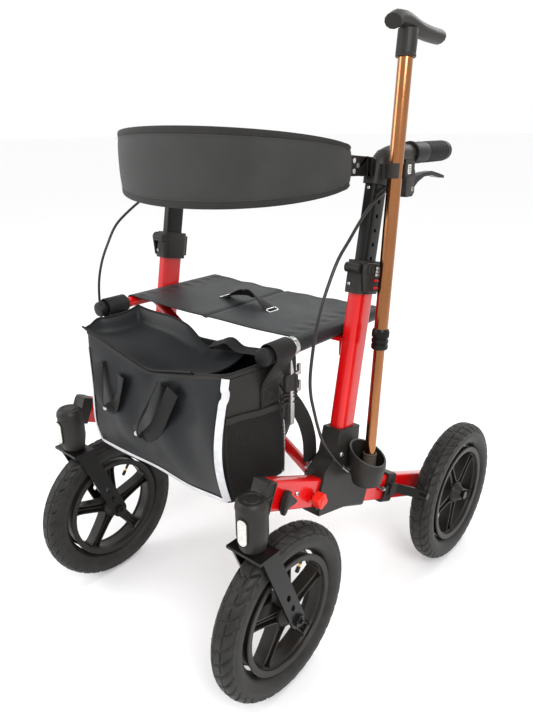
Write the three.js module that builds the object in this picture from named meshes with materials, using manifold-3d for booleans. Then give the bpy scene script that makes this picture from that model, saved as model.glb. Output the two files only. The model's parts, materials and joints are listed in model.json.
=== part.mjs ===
// Rollator walker that folds sideways on a scissor frame under the seat, with a cane in its holder.
// Millimetres, +Z up. The user walks towards -Y, so -Y is the front, and +X is the right-hand side
// as seen from the front. The origin is on the floor, in the middle of the four wheels.
import * as THREE from 'three';
import { mergeVertices } from 'three/addons/utils/BufferGeometryUtils.js';
import Module from 'manifold-3d';

const wasm = await Module();
wasm.setup();

// ---- driving dimensions ----
const GAP = 0.3;
const TYRE_R = 152.5;
const TYRE_HALF_W = 24;
const BEAD_R = 105;
const HUB_HALF_W = 27;
const WHEELBASE = 517;
const REAR_X = 289;
const CASTER_X = 240;
const CASTER_TRAIL = 66;
const HEAD_R = 25;
const HEAD_BOTTOM = 318;
const HEAD_TOP = 398;

const FRAME_X = 236;
const RAIL_SLOPE = THREE.MathUtils.degToRad(23.3);
const RAIL_W = 24;
const RAIL_H = 50;
const RAIL_LENGTH = 596;
const RAIL_TAIL = 20;

const LEAN = THREE.MathUtils.degToRad(10.7);
const UPRIGHT_Y = -115.7;
const UPRIGHT_Z = 313.7;
const UPRIGHT_W = 25;
const UPRIGHT_D = 45;
const UPRIGHT_TOP = 372;
const COLLAR_BOTTOM = 344;
const COLLAR_TOP = 396;
const HANDLE_TUBE_W = 20;
const HANDLE_TUBE_D = 39;
const HANDLE_TUBE_BOTTOM = 185;
const HANDLE_TUBE_TOP = 528;

const GRIP_Z = 862;
const GRIP_START = 76;
const GRIP_END = 207;
const GRIP_R = 17;

const SEAT_Z = 604;
const SEAT_FRONT = -183;
const SEAT_REAR = 45;
const SEAT_RAIL_X = 204;
const SEAT_RAIL_Z = 590;
const SEAT_RAIL_R = 10;
const FOOT_PIVOT_Z = 335;
const BRACE_R = 10;
const BRACE_Y = { a: -128, b: -100 };

const CANE_FOOT = new THREE.Vector3(283.5, -80, 343.8);
const CANE_CROWN = new THREE.Vector3(262, 4, 1022);
const CUP_X = 286;
const CUP_Y = -87;
const CUP_R = 31;

// ---- materials ----
const paint = (color, roughness, metalness) =>
  new THREE.MeshStandardMaterial({ color, roughness, metalness });
const RED = paint(0xc80808, 0.25, 0.3);
const BLACK_PLASTIC = paint(0x35322f, 0.5, 0);
const BLACK_STEEL = paint(0x1c1b1a, 0.35, 0.6);
const GREY_METAL = paint(0x8a8a88, 0.35, 0.9);
const TYRE_RUBBER = paint(0x2b2a29, 0.85, 0);
const RIM_PLASTIC = paint(0x2c2826, 0.45, 0);
const GRIP_RUBBER = paint(0x161616, 0.7, 0);
const FABRIC = paint(0x1c1e20, 0.9, 0);
const GREY_FABRIC = paint(0x4d4e50, 0.9, 0);
const COPPER = paint(0x9a5a2c, 0.25, 0.9);
const TAUPE_RUBBER = paint(0x6b5f54, 0.8, 0);
const ORANGE = paint(0xe0301a, 0.45, 0);

// ---- shape helpers ----
const vec = (x, y, z) => new THREE.Vector3(x, y, z);

/** A closed three.js geometry as a solid that can be cut and joined. */
function solid(geometry) {
  const bare = geometry.clone();
  bare.deleteAttribute('normal');
  bare.deleteAttribute('uv');
  const merged = mergeVertices(bare, 1e-4);
  return new wasm.Manifold(new wasm.Mesh({
    numProp: 3,
    vertProperties: new Float32Array(merged.attributes.position.array),
    triVerts: new Uint32Array(merged.index.array),
  }));
}

/** Joins the first list of geometries and cuts the second list out of them. */
function shaped(added, removed = []) {
  let body = solid(added[0]);
  for (const piece of added.slice(1)) body = body.add(solid(piece));
  for (const piece of removed) body = body.subtract(solid(piece));
  const mesh = body.getMesh();
  const geometry = new THREE.BufferGeometry();
  geometry.setAttribute('position', new THREE.BufferAttribute(mesh.vertProperties, 3));
  geometry.setIndex(new THREE.BufferAttribute(mesh.triVerts, 1));
  geometry.computeVertexNormals();
  return geometry;
}

/** A box given by its lowest and highest corner. */
function block(low, high) {
  const box = new THREE.BoxGeometry(high[0] - low[0], high[1] - low[1], high[2] - low[2]);
  return box.translate((low[0] + high[0]) / 2, (low[1] + high[1]) / 2, (low[2] + high[2]) / 2);
}

/** A round rod between two points. */
function rod(from, to, radius, sides = 14) {
  const along = new THREE.Vector3().subVectors(to, from);
  const geometry = new THREE.CylinderGeometry(radius, radius, along.length(), sides);
  const turn = new THREE.Quaternion().setFromUnitVectors(vec(0, 1, 0), along.clone().normalize());
  geometry.applyQuaternion(turn);
  const middle = new THREE.Vector3().addVectors(from, to).multiplyScalar(0.5);
  return geometry.translate(middle.x, middle.y, middle.z);
}

/** A rectangle outline with round corners, centred on the origin. */
function roundedRectangle(width, height, radius) {
  const shape = new THREE.Shape();
  const x = width / 2;
  const y = height / 2;
  shape.moveTo(-x + radius, -y);
  shape.lineTo(x - radius, -y);
  shape.absarc(x - radius, -y + radius, radius, -Math.PI / 2, 0);
  shape.lineTo(x, y - radius);
  shape.absarc(x - radius, y - radius, radius, 0, Math.PI / 2);
  shape.lineTo(-x + radius, y);
  shape.absarc(-x + radius, y - radius, radius, Math.PI / 2, Math.PI);
  shape.lineTo(-x, -y + radius);
  shape.absarc(-x + radius, -y + radius, radius, Math.PI, Math.PI * 1.5);
  return shape;
}

/** An upright prism: an X-Y outline between two heights. */
function prism(shape, bottom, top, curveSegments = 2) {
  const geometry = new THREE.ExtrudeGeometry(shape, {
    depth: top - bottom, bevelEnabled: false, curveSegments,
  });
  return geometry.translate(0, 0, bottom);
}

/** A plate whose outline lies in the Y-Z plane, with its thickness along X. */
function sidePlate(points, lowX, highX, curveSegments = 4) {
  const shape = points instanceof THREE.Shape
    ? points
    : new THREE.Shape(points.map(([y, z]) => new THREE.Vector2(y, z)));
  const geometry = new THREE.ExtrudeGeometry(shape, {
    depth: highX - lowX, bevelEnabled: false, curveSegments,
  });
  const axes = new THREE.Matrix4().makeBasis(vec(0, 1, 0), vec(0, 0, 1), vec(1, 0, 0));
  return geometry.applyMatrix4(axes).translate(lowX, 0, 0);
}

/** A round section swept along a curve through the points. */
function sweep(points, radiusA, radiusB, sides, steps) {
  const section = new THREE.Shape();
  for (let i = 0; i < sides; i += 1) {
    const angle = (i / sides) * Math.PI * 2;
    const x = Math.cos(angle) * radiusA;
    const y = Math.sin(angle) * radiusB;
    if (i === 0) section.moveTo(x, y);
    else section.lineTo(x, y);
  }
  section.closePath();
  return new THREE.ExtrudeGeometry(section, {
    steps, bevelEnabled: false, extrudePath: new THREE.CatmullRomCurve3(points),
  });
}

/** A turned piece on the Z axis from (radius, height) points. */
function turned(profile, sides) {
  const points = profile.map(([radius, height]) => new THREE.Vector2(radius, height));
  return new THREE.LatheGeometry(points, sides).rotateX(Math.PI / 2);
}

/** A closed skin over loops of equally many points, capped at both ends. */
function loft(loops) {
  const count = loops[0].length;
  const position = loops.flat().flatMap((point) => [point.x, point.y, point.z]);
  const index = [];
  for (let row = 0; row + 1 < loops.length; row += 1) {
    for (let i = 0; i < count; i += 1) {
      const a = row * count + i;
      const b = row * count + ((i + 1) % count);
      index.push(a, b, b + count, a, b + count, a + count);
    }
  }
  const last = (loops.length - 1) * count;
  for (let i = 1; i + 1 < count; i += 1) {
    index.push(0, i + 1, i);
    index.push(last, last + i, last + i + 1);
  }
  const geometry = new THREE.BufferGeometry();
  geometry.setAttribute('position', new THREE.Float32BufferAttribute(position, 3));
  geometry.setIndex(index);
  return geometry;
}

function node(name, geometry, material, parent) {
  const mesh = new THREE.Mesh(geometry, material);
  mesh.name = name;
  parent.add(mesh);
  return mesh;
}

const walker = new THREE.Group();
const sides = [{ name: 'right', s: 1, brace: 'a' }, { name: 'left', s: -1, brace: 'b' }];

/** A group that turns the rail's own frame into place: -Y runs forward and up along the rail. */
function railFrame(s) {
  const group = new THREE.Group();
  group.position.set(s * FRAME_X, WHEELBASE / 2, TYRE_R);
  group.rotation.x = -RAIL_SLOPE;
  walker.add(group);
  return group;
}

/** A group whose Z axis runs up along the leaning upright, from where it crosses the rail. */
function uprightFrame(s) {
  const group = new THREE.Group();
  group.position.set(s * FRAME_X, UPRIGHT_Y, UPRIGHT_Z);
  group.rotation.x = -LEAN;
  walker.add(group);
  return group;
}

/** A point of the upright's frame in the walker's frame, at the middle of the tube. */
function onUpright(forward, height) {
  return vec(
    0,
    UPRIGHT_Y + forward * Math.cos(LEAN) + height * Math.sin(LEAN),
    UPRIGHT_Z - forward * Math.sin(LEAN) + height * Math.cos(LEAN),
  );
}

/** Moves a geometry from one group's frame into another's. */
function between(geometry, from, to) {
  from.updateMatrix();
  to.updateMatrix();
  return geometry.clone().applyMatrix4(from.matrix).applyMatrix4(to.matrix.clone().invert());
}

/** A prism along the rail: its section stands across Y. */
function alongRail(shape, from, to) {
  return prism(shape, -to, -from).rotateX(Math.PI / 2);
}

// ---- wheels ----
function tyreGeometry() {
  const middle = TYRE_R - TYRE_HALF_W;
  const profile = [];
  const count = 10;
  for (let i = 0; i <= count; i += 1) {
    const angle = -Math.PI + (i / count) * Math.PI * 2;
    const squash = Math.cos(angle) < 0 ? 0.98 : 1;
    const radius = middle + Math.cos(angle) * TYRE_HALF_W * squash;
    profile.push([Math.max(radius, BEAD_R), Math.sin(angle) * TYRE_HALF_W]);
  }
  return turned(profile, 36).rotateY(Math.PI / 2);
}

function rimGeometry() {
  const flange = BEAD_R - 0.8;
  const well = 92;
  const halfWidth = 17;
  const barrel = turned([
    [well, -halfWidth], [flange, -halfWidth], [flange, halfWidth], [well, halfWidth], [well, -halfWidth],
  ], 36);
  const hub = turned([
    [0, -HUB_HALF_W], [19, -HUB_HALF_W], [23, -14], [23, 14], [19, HUB_HALF_W], [0, HUB_HALF_W],
  ], 15);
  const spokes = [];
  for (let i = 0; i < 5; i += 1) {
    const outline = new THREE.Shape([
      new THREE.Vector2(16, -12), new THREE.Vector2(96, -8.5),
      new THREE.Vector2(96, 8.5), new THREE.Vector2(16, 12),
    ]);
    spokes.push(prism(outline, -11, 11).rotateZ((i / 5) * Math.PI * 2));
  }
  const bore = rod(vec(0, 0, -40), vec(0, 0, 40), 6.3, 12);
  return shaped([barrel, hub, ...spokes], [bore]).rotateY(Math.PI / 2);
}

for (const { name, s } of sides) {
  const places = [
    ['front', vec(s * CASTER_X, -WHEELBASE / 2, TYRE_R)],
    ['rear', vec(s * REAR_X, WHEELBASE / 2, TYRE_R)],
  ];
  for (const [end, place] of places) {
    const wheel = new THREE.Group();
    wheel.position.copy(place);
    wheel.rotation.x = THREE.MathUtils.degToRad(20);
    walker.add(wheel);
    node(`${end}_tyre_${name}`, tyreGeometry(), TYRE_RUBBER, wheel);
    node(`${end}_rim_${name}`, rimGeometry(), RIM_PLASTIC, wheel);
  }
}

// ---- casters: a moulded head on the rail, and a bent steel fork that swivels under it ----
const STEM_Y = -WHEELBASE / 2 - CASTER_TRAIL;

/** The fork: two straight flat arms, welded under a bent crown that carries the stem. */
function forkGeometry() {
  const armIn = TYRE_HALF_W + 6;
  const armOut = armIn + 5;
  const armHalfW = 16;
  const crownTop = HEAD_BOTTOM - 3;
  const tilt = Math.atan2(CASTER_TRAIL, crownTop - TYRE_R);
  const across = armHalfW / Math.cos(tilt);
  const arm = (lowX, highX) => {
    const outline = new THREE.Shape();
    outline.moveTo(-across, crownTop);
    outline.lineTo(across, crownTop);
    outline.absarc(CASTER_TRAIL, TYRE_R, armHalfW, tilt, tilt - Math.PI, true);
    return sidePlate(outline, lowX, highX);
  };
  const axleAt = (x) => vec(x, CASTER_TRAIL, TYRE_R);
  const holes = [0.2, 0.36].map((t) => {
    const oval = new THREE.Shape();
    const y = THREE.MathUtils.lerp(CASTER_TRAIL, 0, t);
    const z = THREE.MathUtils.lerp(TYRE_R, crownTop, t);
    oval.absellipse(y, z, 7.5, 4.5, 0, Math.PI * 2, false, Math.PI / 2 + tilt);
    return sidePlate(oval, -armOut - 5, armOut + 5, 4);
  });
  return shaped([
    arm(armIn, armOut),
    arm(-armOut, -armIn),
    block([-armOut, -22, crownTop - 5], [armOut, 22, crownTop]),
    rod(vec(0, 0, crownTop - 2), vec(0, 0, HEAD_BOTTOM + 58), 11, 14),
    rod(vec(0, 0, crownTop - 2), vec(0, 0, HEAD_BOTTOM - 0.5), 18, 14),
    rod(axleAt(-armOut - 7), axleAt(armOut + 7), 5.8, 12),
    rod(axleAt(armOut), axleAt(armOut + 5), 11, 6),
    rod(axleAt(-armOut - 5), axleAt(-armOut), 11, 6),
  ], holes);
}

function headGeometry(s) {
  const rail = railFrame(s);
  const arm = block([-14, -RAIL_LENGTH - 22, -27], [14, -RAIL_LENGTH - GAP, 24]);
  const plug = alongRail(roundedRectangle(RAIL_W - 5, RAIL_H - 5, 3), -RAIL_LENGTH - 10, -RAIL_LENGTH + 40);
  rail.updateMatrix();
  const armWorld = arm.applyMatrix4(rail.matrix);
  const plugWorld = plug.applyMatrix4(rail.matrix);
  const stem = turned([
    [0, HEAD_BOTTOM], [21, HEAD_BOTTOM], [HEAD_R, HEAD_BOTTOM + 25], [HEAD_R, HEAD_TOP - 8],
    [HEAD_R - 3, HEAD_TOP - 2], [HEAD_R - 9, HEAD_TOP], [0, HEAD_TOP],
  ], 20).translate(s * CASTER_X, STEM_Y, 0);
  const bore = rod(
    vec(s * CASTER_X, STEM_Y, HEAD_BOTTOM - 5), vec(s * CASTER_X, STEM_Y, HEAD_BOTTOM + 60), 11.4, 14,
  );
  walker.remove(rail);
  return shaped([stem, armWorld, plugWorld], [bore]);
}

for (const { name, s } of sides) {
  node(`caster_head_${name}`, headGeometry(s), BLACK_PLASTIC, walker);
  const fork = node(`fork_${name}`, forkGeometry(), BLACK_STEEL, walker);
  fork.position.set(s * CASTER_X, STEM_Y, 0);
}

// ---- side frames: sloping lower rail, leaning upright, and the moulded shell that joins them ----
const RAIL_OUTLINE = roundedRectangle(RAIL_W, RAIL_H, 5);
const RAIL_BORE = roundedRectangle(RAIL_W - 4, RAIL_H - 4, 3);

function railGeometry() {
  const axle = rod(vec(-30, 0, 0), vec(30, 0, 0), 6.3, 12);
  return shaped(
    [alongRail(RAIL_OUTLINE, -RAIL_LENGTH, RAIL_TAIL)],
    [alongRail(RAIL_BORE, -RAIL_LENGTH - 5, RAIL_TAIL + 5), axle],
  );
}

const UPRIGHT_START = 31.5;
const UPRIGHT_OUTLINE = roundedRectangle(UPRIGHT_W, UPRIGHT_D, 8);
const UPRIGHT_BORE = roundedRectangle(UPRIGHT_W - 4, UPRIGHT_D - 5, 6);

/** The red upright, with the saddle that the seat rail comes down into. */
function uprightGeometry(s) {
  const inward = -s;
  const tube = prism(UPRIGHT_OUTLINE, UPRIGHT_START, UPRIGHT_TOP);
  const saddleTop = SEAT_RAIL_Z - SEAT_RAIL_R - 0.6 - UPRIGHT_Z;
  const saddleY = [-85 - UPRIGHT_Y, -32 - UPRIGHT_Y];
  const reach = FRAME_X - SEAT_RAIL_X + SEAT_RAIL_R + 5;
  const across = (from, to) => [Math.min(inward * from, inward * to), Math.max(inward * from, inward * to)];
  const [floorLow, floorHigh] = across(UPRIGHT_W / 2 - 3, reach);
  const [lipLow, lipHigh] = across(reach - 4, reach);
  const [webLow, webHigh] = across(UPRIGHT_W / 2 - 3, UPRIGHT_W / 2 + 4);
  const level = new THREE.Matrix4().makeRotationX(LEAN);
  const saddle = [
    block([floorLow, saddleY[0], saddleTop - 6], [floorHigh, saddleY[1], saddleTop]),
    block([lipLow, saddleY[0], saddleTop - 6], [lipHigh, saddleY[1], saddleTop + 5]),
    block([webLow, saddleY[0], saddleTop - 30], [webHigh, saddleY[1], saddleTop]),
  ].map((piece) => piece.applyMatrix4(level));
  const bore = prism(UPRIGHT_BORE, UPRIGHT_START - 5, UPRIGHT_TOP + 5);
  return shaped([tube, ...saddle], [bore]);
}

/** The black shell: wraps the rail and the foot of the upright, and carries the brace's clevis. */
function shellGeometry(s, braceName, rail, upright) {
  const half = 17;
  const outline = new THREE.Shape();
  outline.moveTo(-58, -27);
  outline.lineTo(86, -35.5);
  outline.lineTo(86, 26);
  outline.quadraticCurveTo(50, 30, 36, 62);
  outline.lineTo(30, 118);
  outline.lineTo(-30, 118);
  outline.lineTo(-34, 74);
  outline.lineTo(-58, 50);
  const body = sidePlate(outline, -half, half, 5);
  const across = Math.cos(RAIL_SLOPE - LEAN);
  const railCut = between(
    alongRail(roundedRectangle(RAIL_W + 2 * GAP, RAIL_H + 2 * GAP, 5), -RAIL_LENGTH, RAIL_TAIL), rail, upright,
  );
  const uprightCut = prism(
    roundedRectangle(UPRIGHT_W + 2 * GAP, UPRIGHT_D + 2 * GAP, 8), UPRIGHT_START - 4 * across, 130,
  );
  const belt = between(
    alongRail(roundedRectangle(2 * half, RAIL_H + 9, 6), -472, -316), rail, upright,
  );
  const y = BRACE_Y[braceName];
  const pivotX = SEAT_RAIL_X - FRAME_X;
  const ears = [-13, 13].map((offset) => {
    const ear = block([pivotX - 9, y + offset - 2, FOOT_PIVOT_Z - 12], [-half + 2, y + offset + 2, FOOT_PIVOT_Z + 12]);
    return ear;
  });
  const pin = rod(vec(pivotX, y - 16, FOOT_PIVOT_Z), vec(pivotX, y + 16, FOOT_PIVOT_Z), 4, 14);
  const level = new THREE.Matrix4().makeTranslation(0, -UPRIGHT_Y, -UPRIGHT_Z)
    .premultiply(new THREE.Matrix4().makeRotationX(LEAN));
  const clevis = [...ears, pin].map((piece) => piece.applyMatrix4(level));
  const geometry = shaped([body, belt, ...clevis], [railCut, uprightCut]);
  if (s < 0) {
    geometry.scale(-1, 1, 1);
    const index = geometry.index.array;
    for (let i = 0; i < index.length; i += 3) [index[i], index[i + 1]] = [index[i + 1], index[i]];
    geometry.computeVertexNormals();
  }
  return geometry;
}

/** The black clamp collar at the top of the upright, open for both tubes. */
function collarGeometry() {
  const body = prism(roundedRectangle(UPRIGHT_W + 9, UPRIGHT_D + 11, 9), COLLAR_BOTTOM, COLLAR_TOP);
  const knuckle = rod(vec(-13, -31, COLLAR_TOP - 12), vec(13, -31, COLLAR_TOP - 12), 8, 16);
  const tail = block([-9, 24, COLLAR_BOTTOM + 6], [9, 35, COLLAR_TOP - 6]);
  const seatCut = prism(
    roundedRectangle(UPRIGHT_W + 2 * GAP, UPRIGHT_D + 2 * GAP, 8), COLLAR_BOTTOM - 5, UPRIGHT_TOP + GAP,
  );
  const tubeCut = prism(
    roundedRectangle(HANDLE_TUBE_W + 0.7, HANDLE_TUBE_D + 0.7, 6), COLLAR_BOTTOM - 5, COLLAR_TOP + 5,
  );
  return shaped([body, knuckle, tail], [seatCut, tubeCut]);
}

/** The flip lever on the collar's outer face, turning on a cross pin at its front end. */
function clampLeverGeometry(s) {
  const face = (UPRIGHT_W + 9) / 2 + GAP;
  const outline = new THREE.Shape();
  outline.moveTo(-24, COLLAR_BOTTOM + 4);
  outline.lineTo(36, COLLAR_BOTTOM + 4);
  outline.lineTo(38, COLLAR_TOP - 3);
  outline.lineTo(-18, COLLAR_TOP - 2);
  outline.absarc(-24, COLLAR_TOP - 12, 10, Math.PI * 0.4, Math.PI, false);
  const low = s > 0 ? face : -face - 5;
  return sidePlate(outline, low, low + 5, 5);
}

for (const { name, s, brace } of sides) {
  const rail = railFrame(s);
  const upright = uprightFrame(s);
  node(`lower_rail_${name}`, railGeometry(), RED, rail);
  node(`upright_${name}`, uprightGeometry(s), RED, upright);
  node(`node_shell_${name}`, shellGeometry(s, brace, rail, upright), BLACK_PLASTIC, upright);
  node(`clamp_collar_${name}`, collarGeometry(), BLACK_PLASTIC, upright);
  node(`clamp_lever_${name}`, clampLeverGeometry(s), BLACK_PLASTIC, upright);
}

// ---- rear axles, brake clamps and brake shoes ----
const STRAP_FROM = -238;
const STRAP_TO = -206;

function strapGeometry(s) {
  const outer = alongRail(roundedRectangle(RAIL_W + 9, RAIL_H + 9, 6), STRAP_FROM, STRAP_TO);
  const lugLow = s > 0 ? RAIL_W / 2 : -RAIL_W / 2 - 14;
  const lug = block([lugLow, STRAP_FROM + 4, -12], [lugLow + 14, STRAP_TO - 4, 12]);
  const guideLow = s > 0 ? RAIL_W / 2 + 6 : -RAIL_W / 2 - 10.6;
  const guide = block([guideLow, STRAP_FROM - 5, -8.6], [guideLow + 4.6, STRAP_TO + 5, 8.6]);
  const railCut = alongRail(
    roundedRectangle(RAIL_W + 2 * GAP, RAIL_H + 2 * GAP, 5), STRAP_FROM - 5, STRAP_TO + 5,
  );
  return shaped([outer, lug], [railCut, guide]);
}

/** The brake arm runs through the clamp's guide and carries the shoe ahead of the tyre. */
function brakeArmGeometry(s) {
  const inner = RAIL_W / 2 + 6.3;
  const shoeX = REAR_X - FRAME_X;
  const shoeY = -(TYRE_R + 4 + 7);
  const barY = STRAP_TO + 12;
  const bar = block([inner, STRAP_FROM - 12, -8], [inner + 4, barY, 8]);
  const elbow = new THREE.Shape([
    new THREE.Vector2(inner, barY - 6), new THREE.Vector2(inner + 4, barY - 6),
    new THREE.Vector2(shoeX + 3, shoeY - 6), new THREE.Vector2(shoeX + 3, shoeY),
    new THREE.Vector2(shoeX - 4, shoeY), new THREE.Vector2(inner, barY),
  ]);
  const link = prism(elbow, -9, 9);
  const shoe = rod(vec(shoeX - 19, shoeY, 0), vec(shoeX + 19, shoeY, 0), 7, 14);
  const geometry = shaped([bar, link, shoe]);
  if (s < 0) geometry.rotateZ(Math.PI).scale(1, -1, 1);
  if (s < 0) {
    const index = geometry.index.array;
    for (let i = 0; i < index.length; i += 3) [index[i], index[i + 1]] = [index[i + 1], index[i]];
    geometry.computeVertexNormals();
  }
  return geometry;
}

function axleGeometry(s) {
  const outer = REAR_X - FRAME_X + HUB_HALF_W + 1;
  const shaft = rod(vec(-16, 0, 0), vec(outer + 6, 0, 0), 5.8, 12);
  const collar = rod(vec(RAIL_W / 2 + GAP, 0, 0), vec(REAR_X - FRAME_X - HUB_HALF_W - 1, 0, 0), 12, 20);
  const nut = rod(vec(outer, 0, 0), vec(outer + 6, 0, 0), 10, 6);
  const head = rod(vec(-RAIL_W / 2 - 6, 0, 0), vec(-RAIL_W / 2 - GAP, 0, 0), 10, 6);
  const geometry = shaped([shaft, collar, nut, head]);
  return s < 0 ? geometry.rotateZ(Math.PI) : geometry;
}

for (const { name, s } of sides) {
  const rail = railFrame(s);
  node(`brake_clamp_${name}`, strapGeometry(s), BLACK_PLASTIC, rail);
  node(`brake_arm_${name}`, brakeArmGeometry(s), BLACK_STEEL, rail);
  node(`rear_axle_${name}`, axleGeometry(s), BLACK_STEEL, rail);
}

// ---- knob on the rail, just ahead of the shell ----
const KNOB_Y = -483;
const KNOB_Z = -6;

function knobGeometry(s) {
  const face = s * (RAIL_W / 2 + GAP);
  const lobes = new THREE.Shape();
  const count = 24;
  for (let i = 0; i < count; i += 1) {
    const angle = (i / count) * Math.PI * 2;
    const radius = 12 + 1.6 * Math.cos(angle * 4);
    const point = [Math.cos(angle) * radius, Math.sin(angle) * radius];
    if (i === 0) lobes.moveTo(...point);
    else lobes.lineTo(...point);
  }
  lobes.closePath();
  const cap = sidePlate(lobes, Math.min(face + s * 5, face + s * 21), Math.max(face + s * 5, face + s * 21));
  const neck = rod(vec(face, 0, 0), vec(face + s * 8, 0, 0), 6, 16);
  return shaped([cap, neck]);
}

for (const { name, s } of sides) {
  const rail = railFrame(s);
  node(`knob_${name}`, knobGeometry(s), ORANGE, rail).position.set(0, KNOB_Y, KNOB_Z);
}

// ---- handles: tube, bent neck, grip, brake housing and lever, backrest bracket ----
const NECK_R = 15;
const CORE_R = 11;

function handleTubeGeometry(s) {
  const outline = roundedRectangle(HANDLE_TUBE_W, HANDLE_TUBE_D, 5.5);
  const bore = roundedRectangle(HANDLE_TUBE_W - 4, HANDLE_TUBE_D - 4, 4);
  const holes = [];
  for (let i = 0; i < 6; i += 1) {
    const z = HANDLE_TUBE_TOP - 40 - i * 22;
    holes.push(rod(vec(0, 0, z), vec(s * 30, 0, z), 3.5, 6));
  }
  return shaped(
    [prism(outline, HANDLE_TUBE_BOTTOM, HANDLE_TUBE_TOP)],
    [prism(bore, HANDLE_TUBE_BOTTOM - 5, HANDLE_TUBE_TOP + 5), ...holes],
  );
}

function neckGeometry() {
  const sleeve = prism(roundedRectangle(27, 46, 8), HANDLE_TUBE_TOP - 14, HANDLE_TUBE_TOP + 16);
  const frame = new THREE.Matrix4().makeTranslation(0, UPRIGHT_Y, UPRIGHT_Z)
    .multiply(new THREE.Matrix4().makeRotationX(-LEAN));
  sleeve.applyMatrix4(frame);
  const socket = prism(
    roundedRectangle(HANDLE_TUBE_W + 2 * GAP, HANDLE_TUBE_D + 2 * GAP, 5.5),
    HANDLE_TUBE_TOP - 20, HANDLE_TUBE_TOP + GAP,
  ).applyMatrix4(frame);
  const base = onUpright(0, HANDLE_TUBE_TOP + 8);
  const bend = sweep([
    vec(0, base.y, base.z), vec(0, base.y + 4, base.z + 14), vec(0, base.y + 16, GRIP_Z - 5),
    vec(0, base.y + 36, GRIP_Z), vec(0, 58, GRIP_Z), vec(0, GRIP_START - GAP, GRIP_Z),
  ], NECK_R, NECK_R, 12, 10);
  const core = rod(vec(0, 60, GRIP_Z), vec(0, GRIP_END - 8, GRIP_Z), CORE_R, 12);
  return shaped([sleeve, bend, core], [socket]);
}

function gripGeometry() {
  const profile = [[CORE_R + GAP, GRIP_START]];
  profile.push([GRIP_R + 2, GRIP_START]);
  profile.push([GRIP_R + 2, GRIP_START + 5]);
  for (let i = 0; i <= 4; i += 1) {
    const y = GRIP_START + 10 + i * 26;
    profile.push([GRIP_R + 0.9 * Math.cos(i * Math.PI), y]);
  }
  profile.push([GRIP_R - 1, GRIP_END - 5]);
  profile.push([GRIP_R - 6, GRIP_END]);
  profile.push([0, GRIP_END]);
  profile.push([0, GRIP_END - 8 + GAP]);
  profile.push([CORE_R + GAP, GRIP_END - 8 + GAP]);
  profile.push([CORE_R + GAP, GRIP_START]);
  const points = profile.map(([radius, y]) => new THREE.Vector2(radius, y));
  return new THREE.LatheGeometry(points, 16).translate(0, 0, GRIP_Z);
}

const LEVER_PIVOT = [70, 806];

function housingGeometry() {
  const outline = new THREE.Shape([
    new THREE.Vector2(46, GRIP_Z - 8), new THREE.Vector2(75.5, GRIP_Z - 8),
    new THREE.Vector2(75.5, 838), new THREE.Vector2(79, 832), new THREE.Vector2(79, 800), new THREE.Vector2(73, 794), new THREE.Vector2(53, 794),
    new THREE.Vector2(47, 802),
  ]);
  const neckCut = rod(vec(0, 30, GRIP_Z), vec(0, 90, GRIP_Z), NECK_R + GAP, 18);
  const slot = block([-8, 58, 785], [8, 90, 822]);
  const pin = rod(vec(-12, ...LEVER_PIVOT), vec(12, ...LEVER_PIVOT), 2.5, 10);
  return shaped([shaped([sidePlate(outline, -13, 13)], [neckCut, slot]), pin]);
}

function brakeLeverGeometry() {
  const top = [[63, 811], [78, 812], [100, 823], [120, 829], [150, 830], [175, 825], [196, 820]];
  const bottom = [[197, 815], [172, 818], [150, 823], [122, 822], [102, 815], [80, 801], [66, 801]];
  const blade = sidePlate([...top, ...bottom].reverse(), -7, 7);
  const eye = rod(vec(-7, ...LEVER_PIVOT), vec(7, ...LEVER_PIVOT), 2.5 + GAP, 10);
  return shaped([blade], [eye.scale(1.2, 1, 1)]);
}

/** The backrest's bracket: a plate bolted in front of the handle's sleeve. */
function backrestBracketGeometry() {
  const outline = [[-95, 836], [-46, 834], [-46, 862], [-95, 866]];
  const plate = sidePlate(outline, -3, 3);
  const foot = sidePlate([[-52, 833], [-43.5, 833], [-39.5, 858], [-52, 862]], -11, 11);
  return shaped([plate, foot]);
}

for (const { name, s } of sides) {
  const upright = uprightFrame(s);
  node(`handle_tube_${name}`, handleTubeGeometry(s), BLACK_STEEL, upright);
  const top = new THREE.Group();
  top.position.x = s * FRAME_X;
  walker.add(top);
  node(`handle_neck_${name}`, neckGeometry(), BLACK_PLASTIC, top);
  node(`grip_${name}`, gripGeometry(), GRIP_RUBBER, top);
  node(`brake_housing_${name}`, housingGeometry(), BLACK_PLASTIC, top);
  node(`brake_lever_${name}`, brakeLeverGeometry(), BLACK_STEEL, top);
  node(`backrest_bracket_${name}`, backrestBracketGeometry(), BLACK_STEEL, top);
}

// ---- brake cables, whole from housing to brake arm ----
const CABLE_R = 2.4;
const CABLE_ROUTE = [
  [236, 45.4, 816], [242, 28, 818], [250.5, 4, 815], [252.4, -24, 808], [253.5, -53, 796],
  [258, -92, 775], [264, -131, 750], [266, -160, 727], [266, -182, 695], [266, -200, 661],
  [265, -212, 620], [262, -217, 567], [261, -214, 533], [260, -204, 502], [259, -192, 470],
  [258, -177, 439], [256.4, -150, 404], [256, -116, 366], [256, -77, 332.5], [257, -31, 301],
  [257, -2, 276], [256.3, 14, 261.5], [256.3, 28.3, 251.6],
];

for (const { name, s } of sides) {
  const route = CABLE_ROUTE.map(([x, y, z]) => vec(s * x, y, z));
  node(`brake_cable_${name}`, sweep(route, CABLE_R, CABLE_R, 8, 44), BLACK_STEEL, walker);
}

// ---- scissor braces, each with the seat rail of the far side ----
const CENTRE_PIVOT_Z = (FOOT_PIVOT_Z + SEAT_RAIL_Z) / 2;
const SEAT_GRIP_FRONT = -261;
const SEAT_GRIP_REAR = -195;

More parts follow.
